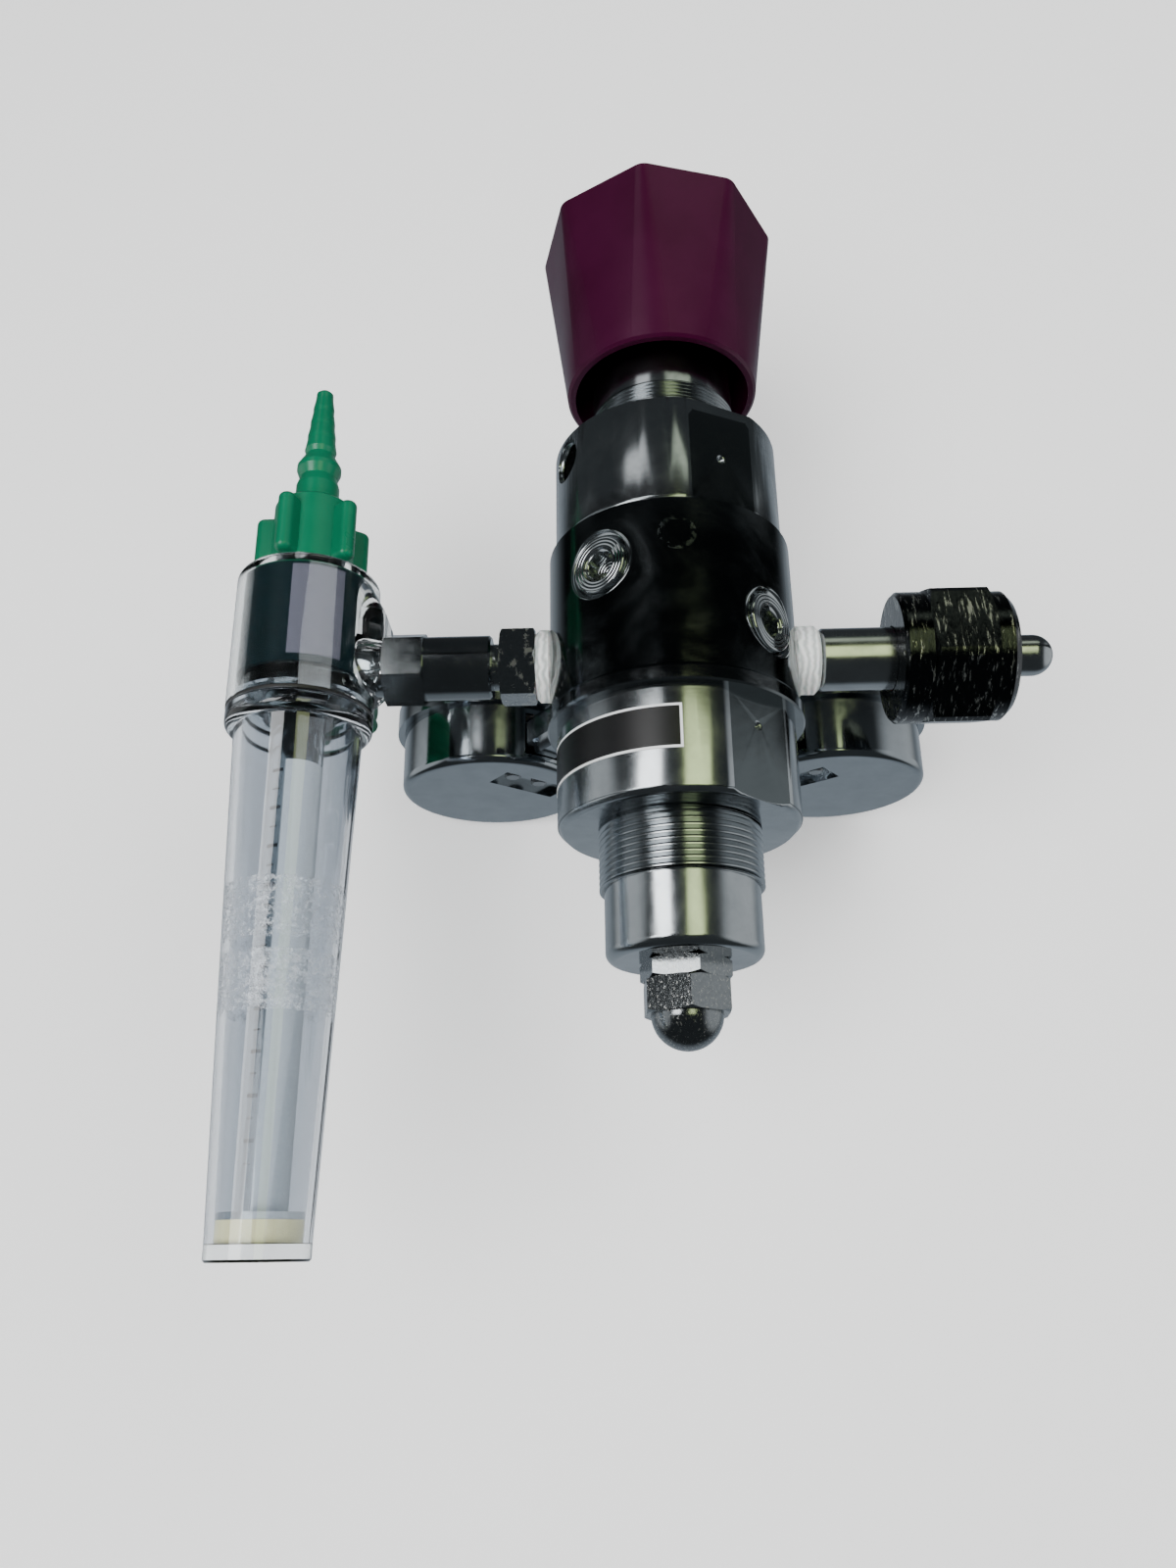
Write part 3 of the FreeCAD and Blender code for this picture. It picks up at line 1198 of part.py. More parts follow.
case_r = GAUGE_CASE_D / 2
bezel_r = case_r + GAUGE_BEZEL_WALL + THREAD_GAP
pocket_floor = GAUGE_CASE_BACK + GAUGE_POCKET_DEPTH
pocket_inside = pocket_floor + GAUGE_CASE_WALL
lens_front = GAUGE_CASE_FRONT + SEAT_GAP + GAUGE_LENS
dial_y = GAUGE_CASE_FRONT - GAUGE_DIAL_DROP
stem_square_end = GAUGE_REACH - BODY_R - STEM_SHOW
stem_thread_end = GAUGE_REACH - PORT_FLOOR_R - STEM_END_GAP


def screw_places(side):
    """Where a gauge's two back screws stand; the screws sit to one side of the stem."""
    middle = side * GAUGE_SCREW_SIDE
    return [Vector(middle + step * GAUGE_SCREW_SPACING / 2, 0, GAUGE_SCREW_Z) for step in (-1, 1)]


def pocket_box(side, grow, back, front):
    """The pocket in the case's back, grown on all four sides."""
    middle = side * GAUGE_POCKET_SIDE
    half = GAUGE_POCKET_WIDTH / 2 + grow
    tall = GAUGE_POCKET_HEIGHT / 2 + grow
    return box_between(Vector(middle - half, back, GAUGE_POCKET_Z - tall),
                       Vector(middle + half, front, GAUGE_POCKET_Z + tall))


def make_gauge_case(side):
    """The drawn cup with a pocket for the back screws and a slot for the stem."""
    cup = rod(case_r, GAUGE_CASE_BACK, GAUGE_CASE_FRONT)
    cup = rounded(cup, GAUGE_CASE_ROUND, GAUGE_CASE_BACK, case_r)
    inside = rod(case_r - GAUGE_CASE_WALL, GAUGE_CASE_BACK + GAUGE_CASE_WALL, GAUGE_CASE_FRONT)
    inside = rounded(inside, GAUGE_CASE_ROUND - GAUGE_CASE_WALL, GAUGE_CASE_BACK + GAUGE_CASE_WALL,
                     case_r - GAUGE_CASE_WALL)
    cup = cup.cut(inside)
    cup = cup.fuse(pocket_box(side, GAUGE_CASE_WALL, GAUGE_CASE_BACK + GAUGE_CASE_WALL, pocket_inside))
    slot = STEM_AF / 2 + LOOSE_GAP
    cuts = [pocket_box(side, 0, GAUGE_CASE_BACK, pocket_floor),
            box_between(Vector(-slot, -slot, STEM_START), Vector(slot, slot, case_r + 1))]
    for place in screw_places(side):
        cuts.append(rod(GAUGE_SCREW_D / 2 + THREAD_GAP, pocket_floor, pocket_inside, Y_AXIS, place))
    return cup.cut(cuts)


def make_gauge_bezel(side):
    """The polished ring that holds the lens on the case."""
    inner = case_r + THREAD_GAP
    window = case_r - GAUGE_BEZEL_INSET
    lip = lens_front + SEAT_GAP
    front = lip + GAUGE_BEZEL_LIP
    ring = turned([(GAUGE_BEZEL_BACK, inner), (GAUGE_BEZEL_BACK, bezel_r), (front, bezel_r),
                   (front, window), (lip, window), (lip, inner)])
    return rounded(ring, GAUGE_BEZEL_EDGE, front, bezel_r)


def make_gauge_lens(side):
    """The clear window, between the case's rim and the bezel's lip."""
    return rod(case_r - SEAT_GAP, GAUGE_CASE_FRONT + SEAT_GAP, lens_front)


def make_gauge_dial(side):
    """The dial plate, with a hole for the pointer's arbor."""
    radius = case_r - GAUGE_CASE_WALL - THREAD_GAP
    return tube(radius, ARBOR_D / 2 + LOOSE_GAP, dial_y, dial_y + GAUGE_DIAL_THICKNESS)


def make_gauge_pointer(side):
    """The pointer with its counterweight tail and the arbor that turns it."""
    start = dial_y + GAUGE_DIAL_THICKNESS + POINTER_GAP
    end = start + POINTER_THICKNESS
    half = POINTER_WIDTH / 2
    tip = POINTER_TIP_WIDTH / 2
    outline = [Vector(-half, 0, -POINTER_TAIL), Vector(half, 0, -POINTER_TAIL), Vector(half, 0, 0),
               Vector(tip, 0, POINTER_LENGTH), Vector(-tip, 0, POINTER_LENGTH), Vector(-half, 0, 0)]
    arm = prism(outline, start, end, Y_AXIS)
    hub = rod(POINTER_HUB_D / 2, start, end + POINTER_GAP)
    arbor = rod(ARBOR_D / 2, BRIDGE_BACK + SEAT_GAP, end)
    return about_y(arm.fuse([hub, arbor]), POINTER_REST_ANGLE)


def make_gauge_socket(side):
    """The brass socket: screw block, movement bridge, square stem and pipe thread."""
    half = SOCKET_WIDTH / 2
    stem = STEM_AF / 2
    bridge = BRIDGE_WIDTH / 2
    block = box_between(Vector(-half, pocket_inside, SOCKET_LOW), Vector(half, SOCKET_FRONT, SOCKET_HIGH))
    arm = box_between(Vector(-bridge, BRIDGE_BACK, BRIDGE_LOW), Vector(bridge, SOCKET_FRONT, SOCKET_LOW))
    square = box_between(Vector(-stem, -stem, STEM_START), Vector(stem, stem, stem_square_end))
    square = square.common(rod(STEM_CORNER_D / 2, STEM_START, stem_square_end, Z_AXIS))
    thread = rod(PIPE_THREAD_D / 2, stem_square_end, stem_thread_end, Z_AXIS)
    cuts = [rod(ARBOR_D / 2 + RUNNING_GAP, BRIDGE_BACK, SOCKET_FRONT),
            rod(PASSAGE_D / 2, SOCKET_HIGH, stem_thread_end, Z_AXIS)]
    hole_end = pocket_floor + GAUGE_SCREW_LENGTH + GAUGE_SCREW_END_GAP
    for place in screw_places(side):
        cuts.append(rod(GAUGE_SCREW_D / 2 + THREAD_GAP, pocket_inside, hole_end, Y_AXIS, place))
    return block.fuse([arm, square, thread]).removeSplitter().cut(cuts)


def make_gauge_screw(place):
    """A pan head screw in the case's pocket."""
    head_back = pocket_floor - GAUGE_SCREW_HEAD
    head = rod(GAUGE_SCREW_HEAD_D / 2, head_back, pocket_floor, Y_AXIS, place)
    head = chamfered(head, GAUGE_SCREW_HEAD / 3, head_back, GAUGE_SCREW_HEAD_D / 2, Y_AXIS, place)
    return head.fuse(rod(GAUGE_SCREW_D / 2, pocket_floor, pocket_floor + GAUGE_SCREW_LENGTH, Y_AXIS, place))


def make_gauge_screws():
    """The four back screws of the two gauges."""
    screws = []
    for angle, side in ((INLET_GAUGE_ANGLE, INLET_GAUGE_SIDE), (OUTLET_GAUGE_ANGLE, OUTLET_GAUGE_SIDE)):
        for place in screw_places(side):
            screws.append(place_gauge(make_gauge_screw(place), angle))
    return Part.makeCompound(screws)


def gauge_nodes(name, angle, side):
    """All nodes of one gauge, by name; the side says where its back screws stand."""
    makers = {"case": make_gauge_case, "bezel": make_gauge_bezel, "lens": make_gauge_lens,
              "dial": make_gauge_dial, "pointer": make_gauge_pointer, "socket": make_gauge_socket}
    return {name + "_gauge_" + part: place_gauge(maker(side), angle) for part, maker in makers.items()}


# All nodes, by name

def make_nodes():
    """Every piece of the regulator, by the name of its node."""
    nodes = {
        "regulator_body": make_body(),
        "body_ring": make_body_ring(),
        "port_plugs": make_port_plugs(),
        "upper_bonnet": make_upper_bonnet(),
        "lower_bonnet": make_lower_bonnet(),
        "delivery_diaphragm": make_diaphragm(upper_face, 1),
        "first_diaphragm": make_diaphragm(lower_face, -1),
        "delivery_spring_plate": make_spring_plate(upper_shoulder, 1, UPPER_SPRING_BORE_D),
        "first_spring_plate": make_spring_plate(lower_shoulder, -1, LOWER_SPRING_BORE_D),
        "delivery_spring": coil(RANGE_COIL_D, RANGE_WIRE, upper_shoulder + PLATE_THICKNESS, button_bottom,
                                RANGE_TURNS),
        "first_spring": coil(STAGE_COIL_D, STAGE_WIRE, lower_shoulder - PLATE_THICKNESS, set_button_high,
                             STAGE_TURNS),
        "spring_button": make_button(button_bottom, button_top, UPPER_SPRING_BORE_D, 1),
        "first_spring_button": make_button(set_button_low, set_button_high, LOWER_SPRING_BORE_D, -1),
        "delivery_seat": make_seat(upper_chamber_floor, -1),
        "first_seat": make_seat(lower_chamber_floor, 1),
        "delivery_poppet": make_poppet(delivery_seat_far, -1, DELIVERY_HEAD_LENGTH, upper_face),
        "first_poppet": make_poppet(first_seat_far, 1, FIRST_HEAD_LENGTH, lower_face),
        "delivery_poppet_spring": coil(POPPET_COIL_D, POPPET_WIRE, delivery_head_end, DELIVERY_CAVITY_FLOOR,
                                       POPPET_TURNS),
        "first_poppet_spring": coil(POPPET_COIL_D, POPPET_WIRE, first_head_end, FIRST_CAVITY_TOP, POPPET_TURNS),
        "adjusting_knob": make_knob(),
        "adjusting_screw": make_adjusting_screw(),
        "knob_screw": make_knob_screw(),
        "set_screw": make_set_screw(),
        "lock_nut": make_lock_nut(),
        "cap_nut": make_cap_nut(),
        "inlet_nipple": make_inlet_nipple(),
        "inlet_filter": make_inlet_filter(),
        "inlet_tape": make_tape(THREAD_START_R, THREAD_START_R + INLET_TAPE_LENGTH, TAPE_D),
        "inlet_nut": make_inlet_nut(),
        "outlet_nipple": make_outlet_nipple(),
        "outlet_tape": make_tape(-THREAD_START_R, -outlet_hex_start, OUTLET_TAPE_D),
        "outlet_coupling": make_coupling(),
        "flowmeter_shell": make_flow_shell(),
        "valve_block": make_valve_block(),
        "label_sleeve": make_label_sleeve(),
        "ring_seal": make_ring_seal(),
        "cover_tube": make_cover_tube(),
        "metering_tube": make_metering_tube(),
        "float_ball": make_float(),
        "end_disc": make_end_disc(),
        "end_cap": make_end_cap(),
        "valve_bonnet": make_valve_bonnet(),
        "needle_valve": make_needle_valve(),
        "flow_knob": make_flow_knob(),
        "barb_nipple": make_barb_nipple(),
        "barb_nut": make_barb_nut(),
        "gauge_screws": make_gauge_screws(),
    }
    nodes.update(gauge_nodes("inlet", INLET_GAUGE_ANGLE, INLET_GAUGE_SIDE))
    nodes.update(gauge_nodes("outlet", OUTLET_GAUGE_ANGLE, OUTLET_GAUGE_SIDE))
    return nodes


def write_nodes(nodes):
    """Shift every node to the row's frame and write it."""
    os.makedirs("parts", exist_ok=True)
    for name, shape in nodes.items():
        placed = shape.copy()
        placed.translate(shift_to_row)
        placed.exportStep("parts/" + name + ".step")
        print(name, len(placed.Solids), placed.isValid(), round(placed.Volume, 1))


write_nodes(make_nodes())
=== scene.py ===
# %% [markdown]
# A gas regulator with a flowmeter, dressed for its picture. The CAD nodes come in as a fixed frame, and
# every cell below gives them a finish or adds a piece that is too fine for the CAD, such as a thread.

# %% Load the frame
import math
import bmesh
import bpy
from mathutils import Matrix, Vector


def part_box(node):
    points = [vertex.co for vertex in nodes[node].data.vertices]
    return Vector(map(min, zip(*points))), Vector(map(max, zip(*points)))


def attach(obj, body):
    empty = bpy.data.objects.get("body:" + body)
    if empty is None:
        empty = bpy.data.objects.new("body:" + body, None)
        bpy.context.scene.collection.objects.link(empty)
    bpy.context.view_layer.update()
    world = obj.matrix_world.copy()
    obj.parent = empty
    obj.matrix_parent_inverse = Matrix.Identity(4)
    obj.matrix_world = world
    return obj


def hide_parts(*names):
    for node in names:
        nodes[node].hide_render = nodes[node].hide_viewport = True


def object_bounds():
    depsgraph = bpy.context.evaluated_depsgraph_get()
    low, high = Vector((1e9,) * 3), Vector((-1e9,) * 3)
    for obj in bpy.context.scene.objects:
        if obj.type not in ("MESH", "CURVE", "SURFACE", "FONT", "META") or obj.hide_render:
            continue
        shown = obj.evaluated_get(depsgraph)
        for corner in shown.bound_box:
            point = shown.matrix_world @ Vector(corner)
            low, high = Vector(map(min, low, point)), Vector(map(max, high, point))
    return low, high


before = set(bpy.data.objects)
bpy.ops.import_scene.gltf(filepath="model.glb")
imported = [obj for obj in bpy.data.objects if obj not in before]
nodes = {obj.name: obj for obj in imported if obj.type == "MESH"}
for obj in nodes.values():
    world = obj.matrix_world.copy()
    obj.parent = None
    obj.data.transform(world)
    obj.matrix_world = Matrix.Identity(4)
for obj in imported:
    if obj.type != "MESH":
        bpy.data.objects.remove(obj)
cad_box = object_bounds()
MM = 0.001
BODY_X = -82.9
FLOW_X = round((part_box("cover_tube")[0].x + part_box("cover_tube")[1].x) / 2 / MM, 3)
print("CAD box, mm:", [[round(v / MM, 1) for v in corner] for corner in cad_box], "flowmeter axis:", FLOW_X)

# %% [markdown]
# The photograph was taken from in front and below, with a phone's short lens. A camera fitted to the known
# sizes of the body and the tube gives the place and the turn, so every piece falls where it does there.

# %% Camera at the photograph's angle
CAMERA_PLACE = Vector((-97.65, -128.62, 256.13)) * MM
CAMERA_RIGHT = Vector((0.9996, -0.0130, -0.0260))
CAMERA_DOWN_THE_LENS = Vector((-0.0196, 0.3606, -0.9325))
camera_data = bpy.data.cameras.new("camera")
camera = bpy.data.objects.new("camera", camera_data)
bpy.context.scene.collection.objects.link(camera)
back = -CAMERA_DOWN_THE_LENS.normalized()
up = back.cross(CAMERA_RIGHT).normalized()
right = up.cross(back).normalized()
camera.matrix_world = Matrix.Translation(CAMERA_PLACE) @ Matrix((right, up, back)).transposed().to_4x4()
camera_data.sensor_fit = "HORIZONTAL"
camera_data.sensor_width = 36.0
camera_data.lens = 37.43
camera_data.clip_start = 0.01
bpy.context.scene.camera = camera

# %% [markdown]
# Shaders take linear colours, and a maker reads colours off a sample as sRGB hex. One function turns the
# one into the other. A second adds a node with its settings and links, so a material reads as a short list.

# %% Colour and node helpers
def linear(hex_code):
    """An sRGB hex colour as the linear values that shaders take."""
    parts = [int(hex_code[i:i + 2], 16) / 255 for i in (0, 2, 4)]
    return tuple(p / 12.92 if p <= 0.04045 else ((p + 0.055) / 1.055) ** 2.4 for p in parts) + (1.0,)


def add(tree, kind, settings=None, links=None):
    """Adds a node: settings go to its options or free sockets, links bring in other nodes' outputs."""
    node = tree.nodes.new("ShaderNode" + kind)
    for name, value in (settings or {}).items():
        if isinstance(name, str) and hasattr(node, name):
            setattr(node, name, value)
        else:
            node.inputs[name].default_value = value
    for name, source in (links or {}).items():
        tree.links.new(source, node.inputs[name])
    return node


def blank(name, **sockets):
    """A new material with its shader's own sockets set; gives the material, its tree and its shader."""
    material = bpy.data.materials.new(name)
    material.use_nodes = True
    shader = material.node_tree.nodes["Principled BSDF"]
    for socket, value in sockets.items():
        shader.inputs[socket.replace("_", " ")].default_value = value
    return material, material.node_tree, shader


# %% [markdown]
# Most of the regulator is brass, turned on a lathe and then chrome plated. The lathe leaves fine rings, which
# spread a reflection along the axis and keep it sharp across, so a lamp shows as a straight bright band. The
# rings here are a noise squeezed along the axis, 0.5 to 1.5 mm apart where real ones are about 0.1, because
# finer ones would not show. Handling leaves cloudy smears, which only change the roughness.

# %% Turned and plated metal
def turned_metal(name, dark, light, rough, smear, ring_mm=0.5, depth_mm=0.003, axis="Y"):
    """Plated metal with rings about one axis; rough is the clean surface, smear what handling adds."""
    material, tree, shader = blank(name, Metallic=1.0)
    place = add(tree, "TexCoord").outputs["Object"]
    squeeze = [25.0, 25.0, 25.0]
    squeeze["XYZ".index(axis)] = 1 / (ring_mm * MM)
    along = add(tree, "Mapping", {"Scale": squeeze}, {"Vector": place})
    rings = add(tree, "TexNoise", {"Scale": 1.0, "Detail": 3.0}, {"Vector": along.outputs[0]})
    cloud = add(tree, "TexNoise", {"Scale": 120.0, "Detail": 6.0, "Roughness": 0.6}, {"Vector": place})
    dirt = add(tree, "TexNoise", {"Scale": 45.0, "Detail": 9.0, "Roughness": 0.72, "Distortion": 1.2},
               {"Vector": place})
    tint = add(tree, "Mix", {"data_type": "RGBA", 6: linear(dark), 7: linear(light)}, {0: cloud.outputs[0]})
    worn = add(tree, "MapRange", {"From Min": 0.42, "From Max": 0.72, "To Min": rough,
                                  "To Max": rough + smear}, {"Value": dirt.outputs[0]})
    relief = add(tree, "Bump", {"Strength": 1.0, "Distance": depth_mm * MM}, {"Height": rings.outputs[0]})
    tree.links.new(tint.outputs[2], shader.inputs["Base Color"])
    tree.links.new(worn.outputs[0], shader.inputs["Roughness"])
    tree.links.new(relief.outputs[0], shader.inputs["Normal"])
    return material


def dress(material, *names):
    """Puts a material on CAD nodes in place of their own."""
    for name in names:
        mesh = nodes[name].data
        mesh.materials.clear()
        mesh.materials.append(material)
    print(material.name, "on", len(names), "nodes")


satin_chrome = turned_metal("satin_chrome_turned_brass", "8d9295", "b1b6b9", 0.15, 0.12, 0.6, 0.0025)
bright_chrome = turned_metal("bright_chrome_turned_brass", "6f7476", "8e9395", 0.07, 0.16, 0.8, 0.0008)
nipple_chrome = turned_metal("satin_chrome_turned_nipple", "8d9193", "b4b8ba", 0.16, 0.14, 0.5, 0.004, "X")
dark_chrome = turned_metal("pressed_bright_nickel", "868c90", "a3a9ad", 0.10, 0.14, 1.5, 0.0010)
turned_brass = turned_metal("turned_brass", "b08d45", "cfab62", 0.22, 0.15)
turned_steel = turned_metal("turned_steel", "85888a", "a2a5a7", 0.25, 0.15)
spring_steel = turned_metal("drawn_spring_steel", "5c5f61", "7c8082", 0.3, 0.15, 1.2, 0.002)
dress(nipple_chrome, "inlet_nipple")
dress(dark_chrome, "inlet_gauge_case", "outlet_gauge_case", "inlet_gauge_bezel", "outlet_gauge_bezel",
      "inlet_gauge_socket", "outlet_gauge_socket")
dress(turned_brass, "delivery_spring_plate", "first_spring_plate", "delivery_seat", "first_seat",
      "delivery_poppet", "first_poppet", "inlet_filter")
dress(turned_steel, "spring_button", "first_spring_button", "adjusting_screw", "knob_screw", "set_screw",
      "needle_valve", "gauge_screws")
dress(spring_steel, "delivery_spring", "first_spring", "delivery_poppet_spring", "first_poppet_spring")
dress(bright_chrome, "body_ring", "valve_bonnet", "outlet_coupling")

# %% [markdown]
# The central body has the same plate, but its colour is painted near black, a painted shade for the dark room
# it reflects. Its two port plugs sit in countersinks whose cut rings catch the light, and there the colour is
# painted lighter, a painted highlight. Those rings are circles about each port's own axis, so the pattern's
# coordinates are turned until the port points along Z, and the distance from that line draws the rings. The
# body also keeps the faint mark of a ring that once stood on it, and long thin scratches.

# %% The central body
def rings_about(tree, place, angle, height, reach_mm, pitch_mm):
    """Rings about a line that leaves the body at an angle from +Z towards +X.

    Gives their height from -1 to 1, the distance from the line, and where the line's own side is."""
    centred = add(tree, "Mapping", {"Location": (-BODY_X * MM, -height * MM, 0)}, {"Vector": place})
    faced = add(tree, "Mapping", {"Rotation": (0, -math.radians(angle), 0)}, {"Vector": centred.outputs[0]})
    parts = add(tree, "SeparateXYZ", {}, {0: faced.outputs[0]})
    flat = add(tree, "CombineXYZ", {}, {"X": parts.outputs["X"], "Y": parts.outputs["Y"]})
    far = add(tree, "VectorMath", {"operation": "LENGTH"}, {0: flat.outputs[0]}).outputs["Value"]
    phase = add(tree, "Math", {"operation": "MULTIPLY", 1: 2 * math.pi / (pitch_mm * MM)}, {0: far})
    swell = add(tree, "Math", {"operation": "SINE"}, {0: phase.outputs[0]})
    inside = add(tree, "Math", {"operation": "LESS_THAN", 1: reach_mm * MM}, {0: far})
    front = add(tree, "Math", {"operation": "GREATER_THAN", 1: 0.0}, {0: parts.outputs["Z"]})
    both = add(tree, "Math", {"operation": "MULTIPLY"}, {0: inside.outputs[0], 1: front.outputs[0]})
    rings = add(tree, "Math", {"operation": "MULTIPLY"}, {0: swell.outputs[0], 1: both.outputs[0]})
    return rings.outputs[0], far, front


# the plate's colour is painted near black: a painted shade for the dark room the body reflects
painted_dark_body_chrome = turned_metal("bright_chrome_body_painted_dark", "4b5153", "63696b", 0.085, 0.16, 1.0, 0.0007)
tree = painted_dark_body_chrome.node_tree
shader = tree.nodes["Principled BSDF"]
place = add(tree, "TexCoord").outputs["Object"]
PORT_REACH, PORT_PITCH = 8.4, 0.8
stage_rings, stage_far, _ = rings_about(tree, place, -36.0, 13.2, PORT_REACH, PORT_PITCH)
inlet_rings, inlet_far, _ = rings_about(tree, place, 47.4, 0.0, PORT_REACH, PORT_PITCH)
_, ghost_far, ghost_front = rings_about(tree, place, 1.0, 17.5, 4.6, 6.0)
port_rings = add(tree, "Math", {"operation": "ADD"}, {0: stage_rings, 1: inlet_rings})
cut = add(tree, "Bump", {"Strength": 1.0, "Distance": 0.05 * MM}, {
    "Height": port_rings.outputs[0], "Normal": shader.inputs["Normal"].links[0].from_socket})
tree.links.new(cut.outputs[0], shader.inputs["Normal"])
off_ring = add(tree, "Math", {"operation": "COMPARE", 1: 3.7 * MM, 2: 0.55 * MM}, {0: ghost_far})
patchy = add(tree, "TexNoise", {"Scale": 900.0, "Detail": 3.0}, {"Vector": place})
patches = add(tree, "Math", {"operation": "GREATER_THAN", 1: 0.54}, {0: patchy.outputs[0]})
ghost = add(tree, "Math", {"operation": "MULTIPLY"}, {0: off_ring.outputs[0], 1: patches.outputs[0]})
ghost = add(tree, "Math", {"operation": "MULTIPLY"}, {0: ghost.outputs[0], 1: ghost_front.outputs[0]})
rough_now = shader.inputs["Roughness"].links[0].from_socket
ghost_rough = add(tree, "Math", {"operation": "MULTIPLY_ADD", 1: 0.16}, {0: ghost.outputs[0], 2: rough_now})
tree.links.new(ghost_rough.outputs[0], shader.inputs["Roughness"])
# inside the countersinks the colour is painted lighter: a painted highlight where the cut rings catch the
# light
port_near = add(tree, "Math", {"operation": "MINIMUM"}, {0: stage_far, 1: inlet_far})
port_highlight_area = add(tree, "Math", {"operation": "LESS_THAN", 1: 8.3 * MM}, {0: port_near.outputs[0]})
port_painted_highlight = add(tree, "Mix", {"data_type": "RGBA", 7: linear("a9aeb0")}, {
    0: port_highlight_area.outputs[0], 6: shader.inputs["Base Color"].links[0].from_socket})
tree.links.new(port_painted_highlight.outputs[2], shader.inputs["Base Color"])
dress(painted_dark_body_chrome, "regulator_body", "port_plugs")

# %% [markdown]
# A screw thread is a groove along a helix. One tooth of it, spun round the axis while it climbs one pitch a
# turn, gives the real thing, and two cuts trim it square. The CAD solid is plain at the crest's size, so its
# wall is opened over the thread's length in a copy, which then stands for the node.

# %% Threads on the two bonnets' necks
def turned_thread(name, radius, depth, pitch, low, high, steps=72):
    """A thread about the body's axis, all sizes in mm, closed inside by a plain wall."""
    centre = Vector((BODY_X * MM, 0, 0))
    turns = math.ceil((high - low) / pitch) + 2
    tooth = bmesh.new()
    outline = ((0, radius - depth), (0.4, radius), (0.6, radius), (1, radius - depth))
    points = [tooth.verts.new(centre + Vector((0, low - pitch + h * pitch, r)) * MM) for h, r in outline]
    edges = [tooth.edges.new(pair) for pair in zip(points, points[1:])]
    bmesh.ops.spin(tooth, geom=points + edges, cent=centre, axis=(0, 1, 0), dvec=(0, pitch * MM / steps, 0),
                   angle=2 * math.pi * turns, steps=turns * steps, use_merge=False)
    bmesh.ops.remove_doubles(tooth, verts=tooth.verts, dist=0.002 * MM)
    for level, side in ((low, -1), (high, 1)):
        bmesh.ops.bisect_plane(tooth, geom=tooth.verts[:] + tooth.edges[:] + tooth.faces[:],
                               plane_co=(0, level * MM, 0), plane_no=(0, side, 0), clear_outer=True)
    rims = [edge for edge in tooth.edges if edge.is_boundary]
    grown = bmesh.ops.extrude_edge_only(tooth, edges=rims)["geom"]
    inner = [item for item in grown if isinstance(item, bmesh.types.BMVert)]
    shrink = (radius - 3 * depth) / radius
    bmesh.ops.scale(tooth, vec=(shrink, 1, shrink), space=Matrix.Translation(-centre), verts=inner)
    ends = [edge for edge in tooth.edges if edge.is_boundary]
    bmesh.ops.bridge_loops(tooth, edges=ends)
    bmesh.ops.recalc_face_normals(tooth, faces=tooth.faces)
    return finished(name, tooth, 35)


def finished(name, shape, sharp_degrees=30, materials=()):
    """Makes an object of a bmesh, smooth but for its sharp edges."""
    mesh = bpy.data.meshes.new(name)
    shape.to_mesh(mesh)
    shape.free()
    mesh.shade_smooth()
    mesh.set_sharp_from_angle(angle=math.radians(sharp_degrees))
    for material in materials:
        mesh.materials.append(material)
    piece = bpy.data.objects.new(name, mesh)
    bpy.context.scene.collection.objects.link(piece)
    print(name, len(mesh.vertices), "points,", len(mesh.polygons), "faces")
    return piece


def opened(node, name, radius, low, high):
    """A copy of a CAD node whose outer wall is open between two levels, where a thread goes in."""
    shell = bmesh.new()
    shell.from_mesh(nodes[node].data)
    bmesh.ops.remove_doubles(shell, verts=shell.verts, dist=0.003 * MM)
    for level in (low, high):
        bmesh.ops.bisect_plane(shell, geom=shell.verts[:] + shell.edges[:] + shell.faces[:],
                               plane_co=(0, level * MM, 0), plane_no=(0, 1, 0))
    wall = []
    for face in shell.faces:
        middle = face.calc_center_median()
        out = math.hypot(middle.x - BODY_X * MM, middle.z)
        if low * MM < middle.y < high * MM and out > (radius - 0.6) * MM:
            wall.append(face)
    bmesh.ops.delete(shell, geom=wall, context="FACES")
    print("opened", len(wall), "faces of", node)
    piece = finished(name, shell, 30)
    # wide faces rule the shading, so the long walls reflect straight up to their rounded edges
    even = piece.modifiers.new("even_shading", "WEIGHTED_NORMAL")
    even.keep_sharp = True
    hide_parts(node)
    return piece


lower_bonnet = opened("lower_bonnet", "lower_bonnet_open", 18.0, -54.85, -41.85)
panel_thread = turned_thread("panel_thread", 18.0, 0.75, 1.411, -54.85, -41.85)
upper_bonnet = opened("upper_bonnet", "upper_bonnet_open", 17.8, 62.0, 66.75)
neck_thread = turned_thread("neck_thread", 17.8, 0.5, 1.0, 62.0, 66.75)
for piece in (lower_bonnet, panel_thread, upper_bonnet, neck_thread):
    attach(piece, "regulator")

# %% [markdown]
# Both bonnets are satin chrome with two milled flats each. A milling cutter leaves arcs, so the flats carry
# wide curved lines over the lathe's rings. A flat is where the side comes nearer to the axis than the
# bonnet's own radius, and that distance is the mask. The flats are also painted darker, a painted shade.

# %% The bonnets' finish
FLAT_NEAREST, FLAT_FARTHEST = 25.4, 26.85


